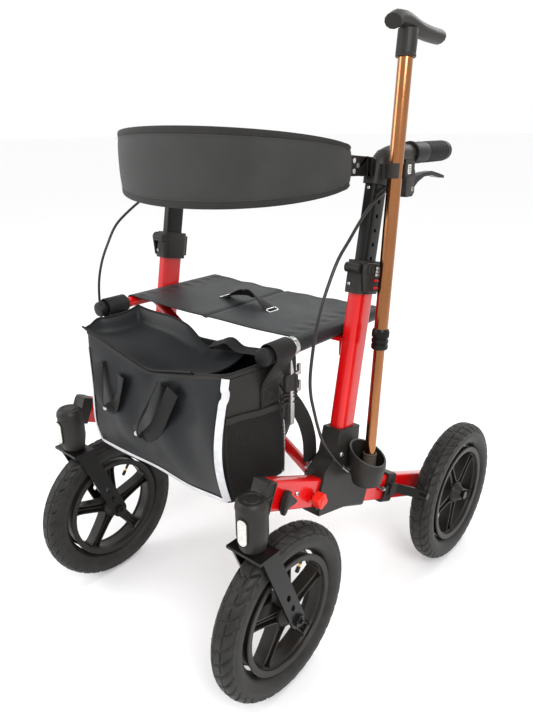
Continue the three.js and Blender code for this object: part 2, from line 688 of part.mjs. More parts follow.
/** The brace that is hinged at the foot on side s and carries the seat rail on the other side. */
function braceGeometry(s, braceName) {
  const y = BRACE_Y[braceName];
  const foot = vec(s * SEAT_RAIL_X, y, FOOT_PIVOT_Z);
  const top = vec(-s * SEAT_RAIL_X, y, SEAT_RAIL_Z);
  const tube = rod(foot, top, BRACE_R, 12);
  const boss = rod(vec(foot.x, y - 9.5, foot.z), vec(foot.x, y + 9.5, foot.z), 10.5, 14);
  const seatRail = rod(
    vec(top.x, SEAT_GRIP_FRONT + 8, top.z), vec(top.x, SEAT_REAR + 12, top.z), SEAT_RAIL_R, 14,
  );
  const pinHole = rod(vec(foot.x, y - 20, foot.z), vec(foot.x, y + 20, foot.z), 4 + GAP, 14);
  const middle = rod(vec(0, y - 20, CENTRE_PIVOT_Z), vec(0, y + 20, CENTRE_PIVOT_Z), 4 + GAP, 14);
  return shaped([tube, boss, seatRail], [pinHole, middle]);
}

for (const { name, s, brace } of sides) {
  node(`brace_${brace}`, braceGeometry(s, brace), RED, walker);
  const grip = turned([
    [SEAT_RAIL_R + GAP, 0], [13, 0], [13, 58], [14.5, 60], [14.5, 66], [0, 66], [0, 58.5],
    [SEAT_RAIL_R + GAP, 58.5], [SEAT_RAIL_R + GAP, 0],
  ], 18).rotateX(Math.PI / 2);
  node(`seat_grip_${name}`, grip, BLACK_PLASTIC, walker)
    .position.set(s * SEAT_RAIL_X, SEAT_GRIP_REAR, SEAT_RAIL_Z);
}

const boltFront = BRACE_Y.a - BRACE_R - 8;
const boltRear = BRACE_Y.b + BRACE_R + 8;
node('brace_centre_bolt', shaped([
  rod(vec(0, boltFront, 0), vec(0, boltRear, 0), 4, 14),
  rod(vec(0, boltFront, 0), vec(0, boltFront + 6, 0), 8, 6),
  rod(vec(0, boltRear - 6, 0), vec(0, boltRear, 0), 8, 6),
]), GREY_METAL, walker).position.z = CENTRE_PIVOT_Z;

// ---- folding catch: a flat bar with two open hooks, hung from the right seat rail ----
function catchGeometry() {
  const eye = rod(vec(0, 0, 0), vec(0, 9, 0), SEAT_RAIL_R + 5, 20);
  const bore = rod(vec(0, -5, 0), vec(0, 20, 0), SEAT_RAIL_R + GAP, 20);
  const bar = block([-3, 0, -132], [3, 9, -11]);
  const hooks = [-48, -76].flatMap((z) => [
    block([-3, 8, z - 3], [3, 26, z + 3]),
    block([-3, 21, z], [3, 26, z + 14]),
  ]);
  return shaped([eye, bar, ...hooks], [bore]);
}

node('folding_catch', catchGeometry(), GREY_METAL, walker).position.set(SEAT_RAIL_X, -194.5, SEAT_RAIL_Z);

// ---- soft pieces, as plain solids ----
const SEAT_HALF_W = 196;
node('seat_fabric', block([-SEAT_HALF_W, SEAT_FRONT, SEAT_Z - 3], [SEAT_HALF_W, SEAT_REAR, SEAT_Z]),
  FABRIC, walker);

const BACKREST_Z = 850;
const BACKREST_END_Y = -97;
const BACKREST_BULGE = 150;

function backrestGeometry() {
  const loops = [];
  const count = 24;
  for (let i = 0; i <= count; i += 1) {
    const angle = ((i / count) * 2 - 1) * Math.PI * 0.5;
    const bow = Math.cos(angle);
    const outward = vec(Math.sin(angle) * BACKREST_BULGE, -Math.cos(angle) * FRAME_X, 0).normalize();
    const middle = vec(Math.sin(angle) * FRAME_X, BACKREST_END_Y - BACKREST_BULGE * bow, BACKREST_Z);
    const half = 29 + 31 * bow ** 0.8;
    const corner = (side, up) => middle.clone().addScaledVector(outward, side * 4).add(vec(0, 0, up * half));
    loops.push([corner(-1, -1), corner(-1, 1), corner(1, 1), corner(1, -1)]);
  }
  return loft(loops);
}

node('backrest', backrestGeometry(), GREY_FABRIC, walker);

const BAG_BOTTOM = 352;
const BAG_TOP = 572;

/** The bag: a rounded box shell that is open at the top. */
function bagGeometry() {
  const ring = (z, halfWidth, front, rear, inset) => {
    const points = roundedRectangle(
      2 * (halfWidth - inset), rear - front - 2 * inset, 14,
    ).getPoints(3);
    return points.slice(0, -1).map((point) => vec(point.x, point.y + (front + rear) / 2, z));
  };
  const outside = [
    ring(BAG_BOTTOM, 172, -312, -172, 0), ring(BAG_BOTTOM + 40, 184, -324, -166, 0),
    ring(BAG_BOTTOM + 130, 186, -326, -166, 0), ring(BAG_TOP, 184, -312, -168, 0),
  ];
  const inside = [
    ring(BAG_BOTTOM + 5, 172, -312, -172, 5), ring(BAG_BOTTOM + 40, 184, -324, -166, 5),
    ring(BAG_BOTTOM + 130, 186, -326, -166, 5), ring(BAG_TOP + 20, 184, -312, -168, 5),
  ];
  return shaped([loft(outside)], [loft(inside)]);
}

node('bag', bagGeometry(), FABRIC, walker);

// ---- cane, its cup on the shell and its clip on the handle ----
const caneAxis = new THREE.Vector3().subVectors(CANE_CROWN, CANE_FOOT).normalize();
const caneLength = CANE_CROWN.distanceTo(CANE_FOOT);
const cane = new THREE.Group();
cane.position.copy(CANE_FOOT);
cane.quaternion.setFromUnitVectors(vec(0, 0, 1), caneAxis);
walker.add(cane);

const LOWER_R = 9.2;
const SOCKET_R = LOWER_R + 0.7;
const UPPER_R = 11.2;
const NUT_R = 13.8;
const NUT_FROM = 222;
const NUT_TO = 256;
const UPPER_FROM = NUT_FROM + 14;

node('cane_ferrule', turned([
  [0, 0], [12.6, 0], [12.6, 8], [11.6, 12], [11.2, 42], [SOCKET_R, 42], [SOCKET_R, 9], [0, 9],
], 18), TAUPE_RUBBER, cane);
node('cane_lower_tube', turned([
  [0, 9 + GAP], [LOWER_R, 9 + GAP], [LOWER_R, 500], [0, 500],
], 16), COPPER, cane);
node('cane_upper_tube', turned([
  [LOWER_R + 0.4, UPPER_FROM], [UPPER_R, UPPER_FROM], [UPPER_R, caneLength], [0, caneLength],
  [0, caneLength - 6], [LOWER_R + 0.4, caneLength - 6], [LOWER_R + 0.4, UPPER_FROM],
], 18), COPPER, cane);
node('cane_lock_nut', turned([
  [LOWER_R + 0.4, NUT_FROM], [NUT_R - 1.4, NUT_FROM], [NUT_R, NUT_FROM + 4], [NUT_R, NUT_FROM + 13],
  [NUT_R - 1, NUT_FROM + 15], [NUT_R, NUT_FROM + 17], [NUT_R, NUT_TO - 4], [NUT_R - 1.4, NUT_TO],
  [UPPER_R + GAP, NUT_TO], [UPPER_R + GAP, UPPER_FROM - GAP], [LOWER_R + 0.4, UPPER_FROM - GAP],
  [LOWER_R + 0.4, NUT_FROM],
], 18), BLACK_STEEL, cane);

function caneHandleGeometry() {
  const palm = sweep([
    vec(CANE_CROWN.x, -38, 1042), vec(CANE_CROWN.x, -24, 1048), vec(CANE_CROWN.x, 0, 1046),
    vec(CANE_CROWN.x, 30, 1039), vec(CANE_CROWN.x, 62, 1035), vec(CANE_CROWN.x, 98, 1033),
  ], 14, 11, 12, 10);
  const neck = rod(vec(CANE_CROWN.x, 2, 1002), vec(CANE_CROWN.x, 6, 1036), 15, 20);
  const socket = rod(
    CANE_CROWN.clone().addScaledVector(caneAxis, -40), CANE_CROWN.clone().addScaledVector(caneAxis, GAP),
    UPPER_R + GAP, 18,
  );
  return shaped([palm, neck], [socket]);
}

node('cane_handle', caneHandleGeometry(), BLACK_PLASTIC, walker);

/** The cup: a round beaker whose slanted rim is high against the shell and low outside. */
function cupGeometry() {
  const bottom = 337;
  const wall = turned([[0, bottom], [CUP_R - 6, bottom], [CUP_R, bottom + 30], [CUP_R, 445], [0, 445]], 24)
    .translate(CUP_X, CUP_Y, 0);
  const inside = turned([[0, 342], [CUP_R - 9, 342], [CUP_R - 3, 372], [CUP_R - 3, 470], [0, 470]], 24)
    .translate(CUP_X, CUP_Y, 0);
  const slant = new THREE.BoxGeometry(200, 200, 120).translate(0, 0, 60).rotateY(0.45).rotateZ(0.17)
    .translate(CUP_X, CUP_Y, 391);
  const pad = block([FRAME_X + 17 + GAP, CUP_Y - 8, 358], [CUP_X - CUP_R + 4, CUP_Y + 16, 396]);
  return shaped([wall, pad], [inside, slant]);
}

node('cane_cup', cupGeometry(), BLACK_PLASTIC, walker);

/** The open clip that holds the cane against the right handle. */
function clipGeometry() {
  const along = 500;
  const holeR = UPPER_R + 1.4;
  const ring = rod(vec(0, 0, along - 11), vec(0, 0, along + 11), holeR + 2.6, 18);
  const hole = rod(vec(0, 0, along - 20), vec(0, 0, along + 20), holeR, 18);
  const mouth = block([6, -9, along - 20], [30, 9, along + 20]);
  const frame = new THREE.Matrix4().makeRotationFromQuaternion(cane.quaternion).setPosition(CANE_FOOT);
  const centre = vec(0, 0, along).applyMatrix4(frame);
  const base = block(
    [FRAME_X + NECK_R + GAP, centre.y - 12, centre.z - 11], [centre.x - UPPER_R + 1, centre.y + 12, centre.z + 11],
  );
  const cuts = [hole, mouth].map((piece) => piece.applyMatrix4(frame));
  return shaped([ring.applyMatrix4(frame), base], cuts);
}

node('cane_clip', clipGeometry(), BLACK_PLASTIC, walker);

export default walker;
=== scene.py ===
import json
import math
import bmesh
import bpy
import numpy as np
from mathutils import Matrix, Vector


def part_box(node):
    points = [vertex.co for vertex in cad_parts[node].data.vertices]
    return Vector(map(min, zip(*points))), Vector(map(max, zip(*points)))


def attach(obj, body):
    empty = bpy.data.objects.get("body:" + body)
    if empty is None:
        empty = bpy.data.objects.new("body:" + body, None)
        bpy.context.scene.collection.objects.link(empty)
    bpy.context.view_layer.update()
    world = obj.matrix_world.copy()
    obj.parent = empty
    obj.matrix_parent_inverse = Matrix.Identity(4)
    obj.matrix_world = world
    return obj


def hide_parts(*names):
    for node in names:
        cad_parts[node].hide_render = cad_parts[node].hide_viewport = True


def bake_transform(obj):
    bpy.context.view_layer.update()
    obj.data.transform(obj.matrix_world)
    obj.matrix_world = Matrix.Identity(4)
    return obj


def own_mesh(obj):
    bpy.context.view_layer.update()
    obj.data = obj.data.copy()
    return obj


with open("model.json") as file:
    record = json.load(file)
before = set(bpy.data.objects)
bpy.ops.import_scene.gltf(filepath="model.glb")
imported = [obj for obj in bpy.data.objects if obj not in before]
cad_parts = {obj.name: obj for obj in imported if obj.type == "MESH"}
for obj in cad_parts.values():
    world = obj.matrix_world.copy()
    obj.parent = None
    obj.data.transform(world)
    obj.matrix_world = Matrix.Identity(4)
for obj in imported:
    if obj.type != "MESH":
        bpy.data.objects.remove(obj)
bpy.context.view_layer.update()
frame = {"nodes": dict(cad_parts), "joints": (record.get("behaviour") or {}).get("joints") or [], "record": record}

# ---------------------------------------------------------------------------------------------
# Studio: a plain pale floor under an even white sky, two soft boxes in front and one behind,
# and the camera a little to the right of the front, looking down at the seat.
# ---------------------------------------------------------------------------------------------
camera_data = bpy.data.cameras.new("camera")
camera_data.lens = 31.41
camera_data.sensor_width = 36
camera = bpy.data.objects.new("camera", camera_data)
bpy.context.scene.collection.objects.link(camera)
bpy.context.scene.camera = camera
azimuth, pitch, roll = (math.radians(a) for a in (41.7, 20.3, 0.8))
look = Vector((-math.sin(azimuth) * math.cos(pitch), math.cos(azimuth) * math.cos(pitch), -math.sin(pitch)))
level_right = Vector((math.cos(azimuth), math.sin(azimuth), 0))
level_down = look.cross(level_right)
right = level_right * math.cos(roll) + level_down * math.sin(roll)
down = level_down * math.cos(roll) - level_right * math.sin(roll)
turn = Matrix((right, -down, -look)).transposed().to_4x4()
camera.matrix_world = Matrix.Translation((0.7727, -0.8857, 0.9068)) @ turn

floor_reach = 60
floor_mesh = bpy.data.meshes.new("floor")
floor_corners = [(x * floor_reach, y * floor_reach, 0) for x, y in ((-1, -1), (1, -1), (1, 1), (-1, 1))]
floor_mesh.from_pydata(floor_corners, [], [(0, 1, 2, 3)])
floor = bpy.data.objects.new("floor", floor_mesh)
bpy.context.scene.collection.objects.link(floor)
floor_material = bpy.data.materials.new("pale_floor")
floor_material.use_nodes = True
floor_shader = floor_material.node_tree.nodes["Principled BSDF"]
floor_shader.inputs["Base Color"].default_value = (0.97, 0.97, 0.97, 1)
floor_shader.inputs["Roughness"].default_value = 0.95
floor_shader.inputs["Specular IOR Level"].default_value = 0.1
floor_mesh.materials.append(floor_material)

world = bpy.data.worlds.new("studio")
world.use_nodes = True
world.node_tree.nodes["Background"].inputs["Color"].default_value = (1, 1, 1, 1)
world.node_tree.nodes["Background"].inputs["Strength"].default_value = 1.0
bpy.context.scene.world = world


def soft_box(name, place, target, size, power):
    """A square area light that faces its target."""
    light = bpy.data.lights.new(name, "AREA")
    light.shape = "SQUARE"
    light.size = size
    light.energy = power
    lamp = bpy.data.objects.new(name, light)
    lamp.location = place
    aim = Vector(target) - Vector(place)
    lamp.rotation_euler = aim.to_track_quat("-Z", "Y").to_euler()
    bpy.context.scene.collection.objects.link(lamp)


soft_box("key_light", (2.0, -1.3, 2.2), (0, 0, 0.45), 1.2, 46)
soft_box("side_light", (-2.0, -2.0, 1.6), (0, 0, 0.5), 1.4, 26)
soft_box("back_light", (0.4, 2.6, 2.4), (0, 0, 0.6), 1.4, 24)
bpy.context.scene.view_settings.view_transform = "Standard"

# ---------------------------------------------------------------------------------------------
# Side frames: sloping lower rails and leaning uprights of extruded aluminium tube, welded, then
# powder coated in a deep gloss red whose skin has a faint orange peel.
# ---------------------------------------------------------------------------------------------


def finish(name, colour, roughness, metallic=0.0, tone=0.12, tone_scale=30, grain=0.1,
           grain_scale=900, depth=0.0002, coat=0.0, sheen=0.0, spread=0.06, weave=0,
           gloss=0.25):
    """A finish whose colour drifts between two near tones, with grain in its roughness and relief.
    weave is the number of threads in a metre: two sets of ripples cross along the texture places."""
    material = bpy.data.materials.new(name)
    material.use_nodes = True
    nodes, links = material.node_tree.nodes, material.node_tree.links
    shader = nodes["Principled BSDF"]
    shader.inputs["Metallic"].default_value = metallic
    shader.inputs["Coat Weight"].default_value = coat
    shader.inputs["Coat Roughness"].default_value = 0.08
    shader.inputs["Sheen Weight"].default_value = sheen
    shader.inputs["Sheen Roughness"].default_value = 0.45
    shader.inputs["Specular IOR Level"].default_value = gloss
    place = nodes.new("ShaderNodeTexCoord")
    cloud = nodes.new("ShaderNodeTexNoise")
    cloud.inputs["Scale"].default_value = tone_scale
    cloud.inputs["Detail"].default_value = 4
    links.new(place.outputs["Object"], cloud.inputs["Vector"])
    ramp = nodes.new("ShaderNodeValToRGB")
    ramp.color_ramp.elements[0].position = 0.35
    ramp.color_ramp.elements[1].position = 0.65
    ramp.color_ramp.elements[0].color = (*[c * (1 - tone) for c in colour], 1)
    ramp.color_ramp.elements[1].color = (*[min(1, c * (1 + tone)) for c in colour], 1)
    links.new(cloud.outputs["Fac"], ramp.inputs["Fac"])
    speck = nodes.new("ShaderNodeTexNoise")
    speck.inputs["Scale"].default_value = grain_scale
    speck.inputs["Detail"].default_value = 3
    links.new(place.outputs["Object"], speck.inputs["Vector"])
    relief = speck.outputs["Fac"]
    colour_out = ramp.outputs["Color"]
    if weave:
        apart = nodes.new("ShaderNodeSeparateXYZ")
        links.new(place.outputs["UV"], apart.inputs["Vector"])
        ripples = []
        for direction in "XY":
            turns = nodes.new("ShaderNodeMath")
            turns.operation = "MULTIPLY"
            turns.inputs[1].default_value = weave * math.pi
            links.new(apart.outputs[direction], turns.inputs[0])
            ripple = nodes.new("ShaderNodeMath")
            ripple.operation = "SINE"
            links.new(turns.outputs[0], ripple.inputs[0])
            ripples.append(ripple.outputs[0])
        crossing = nodes.new("ShaderNodeMath")
        crossing.operation = "MULTIPLY"
        for socket, ripple in zip(crossing.inputs, ripples):
            links.new(ripple, socket)
        threads = nodes.new("ShaderNodeMapRange")
        threads.inputs["From Min"].default_value = -1
        links.new(crossing.outputs[0], threads.inputs["Value"])
        relief = threads.outputs["Result"]
        shadow = nodes.new("ShaderNodeMix")
        shadow.data_type = "RGBA"
        shadow.blend_type = "MULTIPLY"
        shadow.inputs["Factor"].default_value = 0.45
        links.new(ramp.outputs["Color"], shadow.inputs[6])
        links.new(threads.outputs["Result"], shadow.inputs[7])
        colour_out = shadow.outputs[2]
    links.new(colour_out, shader.inputs["Base Color"])
    rough = nodes.new("ShaderNodeMapRange")
    rough.inputs["To Min"].default_value = max(0.02, roughness - spread)
    rough.inputs["To Max"].default_value = min(1, roughness + spread)
    links.new(cloud.outputs["Fac"], rough.inputs["Value"])
    links.new(rough.outputs["Result"], shader.inputs["Roughness"])
    bump = nodes.new("ShaderNodeBump")
    bump.inputs["Strength"].default_value = grain
    bump.inputs["Distance"].default_value = depth
    links.new(relief, bump.inputs["Height"])
    links.new(bump.outputs["Normal"], shader.inputs["Normal"])
    return material


def shade(mesh, angle):
    """Smooth shading with the creases over the angle kept sharp."""
    mesh.polygons.foreach_set("use_smooth", np.ones(len(mesh.polygons), dtype=bool))
    mesh.set_sharp_from_angle(angle=math.radians(angle))


BODY_OF = {node: body for body, nodes in frame["record"]["behaviour"]["bodies"].items() for node in nodes}
HINGE = {joint["name"]: np.array(joint.get("pos_m", (0, 0, 0))) * 1000 for joint in frame["joints"]}


def settle(name, mesh, material, body, stands_for=()):
    """Links a finished mesh with its material, riding its body when one is given."""
    mesh.materials.clear()
    mesh.materials.append(material)
    made = bpy.data.objects.new(name, mesh)
    bpy.context.scene.collection.objects.link(made)
    if body:
        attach(made, body)
    if stands_for:
        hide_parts(*stands_for)
    return made


def finished(node, material, roll=0.8, angle=34):
    """A copy of the CAD node with its doubles merged and its edges rolled over by so many millimetres."""
    mesh = frame["nodes"][node].data.copy()
    work = bmesh.new()
    work.from_mesh(mesh)
    bmesh.ops.remove_doubles(work, verts=work.verts, dist=0.00002)
    bmesh.ops.dissolve_limit(
        work, angle_limit=math.radians(0.6), verts=work.verts, edges=work.edges,
        use_dissolve_boundaries=False)
    work.to_mesh(mesh)
    work.free()
    made = settle(node + "_finished", mesh, material, BODY_OF[node], (node,))
    if roll:
        bevel = made.modifiers.new("rolled_edges", "BEVEL")
        bevel.width = roll / 1000
        bevel.segments = 2
        bevel.limit_method = "ANGLE"
        bevel.angle_limit = math.radians(angle)
    shade(mesh, angle)
    return made


SIDES = {"right": 1, "left": -1}
red_paint = finish("red_paint", (0.56, 0.002, 0.003), 0.24, tone=0.06, tone_scale=9, grain=0.05,
                   grain_scale=420, coat=0.3, gloss=0.4)
for side in SIDES:
    finished(f"lower_rail_{side}", red_paint, roll=0.6)
    finished(f"upright_{side}", red_paint, roll=0.6)

# ---------------------------------------------------------------------------------------------
# Shells: a two-part moulding in grained charcoal nylon joins each rail to its upright. Socket
# screws hold it, and a saddle clip on its outer face leads the brake cable across it.
# ---------------------------------------------------------------------------------------------


def skin(points, around=True, ends=True):
    """Faces over a grid of points, rows by columns: each point, its neighbour and the two after them
    make a quad. around joins the last column to the first, and ends closes the first and last rows.
    A corner's texture place is its distance across its row and along the rows, in metres."""
    points = np.asarray(points, float)
    rows, columns = points.shape[:2]
    span = columns if around else columns - 1
    row, column = (g.ravel() for g in np.meshgrid(np.arange(rows - 1), np.arange(span), indexing="ij"))
    corners = [(row, column), (row, column + 1), (row + 1, column + 1), (row + 1, column)]
    quads = np.stack([r * columns + c % columns for r, c in corners], -1)
    loop = np.concatenate([points, points[:, :1]], axis=1)
    across = np.append(0, np.cumsum(np.linalg.norm(np.diff(loop, axis=1), axis=2).mean(axis=0)))
    along = np.append(0, np.cumsum(np.linalg.norm(np.diff(points, axis=0), axis=2).mean(axis=1)))
    places = np.stack([np.stack([across[c], along[r]], -1) for r, c in corners], 1).reshape(-1, 2)
    faces = quads.tolist()
    if ends:
        last = (rows - 1) * columns
        faces += [list(range(columns))[::-1], list(range(last, last + columns))]
        places = np.concatenate([places, points[[0, -1]].reshape(-1, 3)[:, :2]])
    return points.reshape(-1, 3), faces, places / 1000


def turned(profile, centre, axis=(1, 0, 0), sides=28):
    """A profile of (radius, height) pairs spun about an axis through centre: each pair makes a ring."""
    axis = np.array(axis, float) / np.linalg.norm(axis)
    aside = np.cross(axis, (0, 0, 1) if abs(axis[2]) < 0.9 else (1, 0, 0))
    aside /= np.linalg.norm(aside)
    third = np.cross(axis, aside)
    angle = np.linspace(0, 2 * math.pi, sides, endpoint=False)
    ring = np.cos(angle)[:, None] * aside + np.sin(angle)[:, None] * third
    radius, height = np.array(profile, float).T
    points = radius[:, None, None] * ring + height[:, None, None] * axis + np.array(centre, float)
    return skin(points, ends=False)


def slab(outline, low, high, roll=0.8, place=None):
    """A flat outline given thickness: its two faces are drawn in by roll, so that the edge is rounded."""
    outline = np.array(outline, float)
    middle = outline.mean(axis=0)
    reach = np.abs(outline - middle).max()
    inner = middle + (outline - middle) * (1 - roll / reach)
    soft = middle + (outline - middle) * (1 - 0.3 * roll / reach)
    rows = [(inner, low), (soft, low + 0.3 * roll), (outline, low + roll),
            (outline, high - roll), (soft, high - 0.3 * roll), (inner, high)]
    points = np.array([np.column_stack([line, np.full(len(line), level)]) for line, level in rows])
    return skin(place(points) if place else points)


def carried(section, path, up=(0, 0, 1), scale=None, ends=True, around=True):
    """A section carried along a path: each ring stands square to the path there, its height along up."""
    path, section = np.array(path, float), np.array(section, float)
    ahead = np.gradient(path, axis=0)
    ahead /= np.linalg.norm(ahead, axis=1)[:, None]
    aside = np.cross(ahead, np.broadcast_to(up, ahead.shape))
    aside /= np.linalg.norm(aside, axis=1)[:, None]
    upward = np.cross(aside, ahead)
    grow = np.ones((len(path), 2))
    if scale is not None:
        grow = grow * np.array(scale, float).reshape(len(path), -1)
    points = path[:, None] + (section[:, 0] * grow[:, :1])[..., None] * aside[:, None]
    points = points + (section[:, 1] * grow[:, 1:])[..., None] * upward[:, None]
    return skin(points, around=around, ends=ends)


def piece(name, forms, material, body, stands_for=(), crease=35):
    """One object from several closed forms in millimetres: doubles merged, faces turned outwards."""
    count, points, faces, places = 0, [], [], []
    for form_points, form_faces, form_places in forms:
        points.append(form_points)
        faces += [[corner + count for corner in face] for face in form_faces]
        places.append(form_places)
        count += len(form_points)
    mesh = bpy.data.meshes.new(name)
    mesh.from_pydata(np.concatenate(points) / 1000, [], faces)
    mesh.uv_layers.new(name="cloth").data.foreach_set("uv", np.concatenate(places).ravel())
    work = bmesh.new()
    work.from_mesh(mesh)
    bmesh.ops.remove_doubles(work, verts=work.verts, dist=0.000003)
    bmesh.ops.recalc_face_normals(work, faces=work.faces)
    work.to_mesh(mesh)
    work.free()
    shade(mesh, crease)
    return settle(name, mesh, material, body, stands_for)


def screw(centre, axis, size=4.5):
    """A pan-head screw: a low dome, drawn in at its rim, with a socket sunk in its middle."""
    profile = [(0, 0), (size, 0), (size, 0.35 * size), (0.8 * size, 0.6 * size), (0.45 * size, 0.66 * size),
               (0.42 * size, 0.2 * size), (0, 0.2 * size)]
    return turned(profile, centre, axis, 20)


def rounded(width, height, corner, steps=5):
    """A rectangle with round corners: four quarter circles about the corner centres."""
    quarter = np.linspace(0, math.pi / 2, steps)
    turns = np.concatenate([quarter + k * math.pi / 2 for k in range(4)])
    centre_x = np.repeat([1, -1, -1, 1], steps) * (width / 2 - corner)
    centre_y = np.repeat([1, 1, -1, -1], steps) * (height / 2 - corner)
    return np.column_stack([centre_x + corner * np.cos(turns), centre_y + corner * np.sin(turns)])


def tilted(origin, angle):
    """Places in a frame turned about X by angle: y leans down and z leans forward, as on a slope."""
    def place(local):
        x, y, z = np.moveaxis(np.asarray(local, float), -1, 0)
        return np.stack([
            origin[0] + x,
            origin[1] + y * math.cos(angle) + z * math.sin(angle),
            origin[2] - y * math.sin(angle) + z * math.cos(angle),
        ], -1)
    return place


FRAME_X = 236
RAIL_SLOPE = math.radians(23.3)
UPRIGHT_LEAN = math.radians(10.7)
RAIL = {side: tilted((s * FRAME_X, 258.5, 152.5), RAIL_SLOPE) for side, s in SIDES.items()}
UPRIGHT = {side: tilted((s * FRAME_X, -115.7, 313.7), UPRIGHT_LEAN) for side, s in SIDES.items()}

black_plastic = finish("black_plastic", (0.019, 0.017, 0.015), 0.45, tone=0.18, tone_scale=22,
                       grain=0.3, grain_scale=1500, depth=0.00012)
zinc = finish("grey_metal", (0.5, 0.5, 0.49), 0.3, metallic=0.95, tone=0.08, grain=0.1)
for side, s in SIDES.items():
    finished(f"node_shell_{side}", black_plastic, roll=2.2)
    face = s * 17
    spots = [(face, -16, 74), (face, 66, -2)]
    screws = [screw(UPRIGHT[side](spot), (s, 0, 0)) for spot in spots]
    piece(f"shell_screws_{side}", screws, zinc, f"{side}_frame")
    saddle_path = [(s * 253.5, y, z) for y, z in ((-128, 380), (-122, 372), (-116, 365))]
    saddle = [carried(rounded(9, 5, 2), saddle_path)]
    stop = [(0, 0), (3.4, 0), (3.4, 9), (2.6, 11), (0, 11)]
    saddle.append(turned(stop, (s * 253, -138, 386), (0, -0.3, 0.95), 16))
    piece(f"cable_saddle_{side}", saddle, black_plastic, f"{side}_frame")

# ---------------------------------------------------------------------------------------------
# Height collars: a nylon clamp at the top of each upright with a flip lever on its outer face.
# The lever carries a pale cat's-eye reflector of nine cells and two moulded red bars.
# ---------------------------------------------------------------------------------------------
black_steel = finish("black_steel", (0.008, 0.0075, 0.007), 0.3, metallic=0.3, tone=0.12,
                     grain=0.12, grain_scale=700)
reflector = finish("pale_reflector", (0.62, 0.6, 0.56), 0.18, tone=0.1, tone_scale=200, grain=0.3,
                   grain_scale=1200, depth=0.0003, coat=0.5)
bar_red = finish("bar_red", (0.7, 0.01, 0.01), 0.35, tone=0.05)
for side, s in SIDES.items():
    finished(f"clamp_collar_{side}", black_plastic, roll=1.6)
    finished(f"clamp_lever_{side}", black_plastic, roll=1.4)
    outer = 22.4


    def on_lever(local, s=s, outer=outer, side=side):
        """Outlines drawn as (depth, height), raised off the lever's face."""
        depth, height, out = np.moveaxis(local, -1, 0)
        return UPRIGHT[side](np.stack([s * (outer + out), depth, height], -1))


    body = f"clamp_lever_{side}"
    tray = slab(rounded(27, 18, 3) + (11, 381), -0.6, 0.3, 0.3, on_lever)
    piece(f"reflector_tray_{side}", [tray], black_plastic, body)
    cells = [slab(rounded(6.6, 4.4, 0.8, 3) + (11 + 7.8 * i, 381 + 5.4 * k), 0, 0.5, 0.2, on_lever)
             for i in (-1, 0, 1) for k in (-1, 0, 1)]
    piece(f"collar_reflector_{side}", cells, reflector, body)
    bars = [slab(rounded(19, 4, 0.8, 3) + (9, height), -0.4, 0.7, 0.4, on_lever) for height in (366.5, 355)]
    piece(f"collar_bars_{side}", bars, bar_red, body)
    eye = turned([(0, 0), (8.5, 0), (8.5, 1.2), (7.2, 2), (6.2, 2), (5.6, 0.9), (2.4, 0.9), (2, 2), (0, 2)],
                 on_lever(np.array((-16, 384, 0.0))), (s, 0, 0), 24)
    piece(f"lever_eye_{side}", [eye], black_plastic, body)
    collar_screw = screw(UPRIGHT[side]((-6, -29, 358)), (0, -1, 0), 3)
    piece(f"collar_screw_{side}", [collar_screw], zinc, f"{side}_frame")

# ---------------------------------------------------------------------------------------------
# Rear axles and brakes: a moulded block on each rail guides a flat steel arm, whose shoe stops
# just ahead of the tyre. The axle is a turned bolt with a washer.
# ---------------------------------------------------------------------------------------------
for side, s in SIDES.items():
    finished(f"brake_clamp_{side}", black_plastic, roll=1.2)
    finished(f"brake_arm_{side}", black_steel, roll=0.6)
    finished(f"rear_axle_{side}", black_steel, roll=0.6)
    spots = [RAIL[side]((s * 14.5, y, 8)) for y in (-229, -215)]
    piece(f"brake_screws_{side}", [screw(spot, (s, 0, 0), 3.4) for spot in spots], zinc, f"{side}_frame")

# ---------------------------------------------------------------------------------------------
# Wheels: 12 inch air tyres with a curved block tread and fine moulding hairs, on five-spoke
# nylon rims whose spokes are H sections with a thin rib down the middle, and a brass-tipped valve.
# ---------------------------------------------------------------------------------------------
TYRE_R, TYRE_HALF, BEAD_R, HUB_HALF = 152.5, 24, 105, 27
tyre_rubber = finish("tyre", (0.017, 0.016, 0.015), 0.5, tone=0.3, tone_scale=40, grain=0.25,
                     grain_scale=500, spread=0.12)
rim_plastic = finish("rim_plastic", (0.014, 0.012, 0.010), 0.38, tone=0.2, grain=0.2, spread=0.1)
brass = finish("brass", (0.62, 0.42, 0.14), 0.3, metallic=1.0, tone=0.1)


def smooth_step(value, low, high):
    """0 below low, 1 above high, and an even S between."""
    share = np.clip((value - low) / (high - low), 0, 1)
    return share * share * (3 - 2 * share)


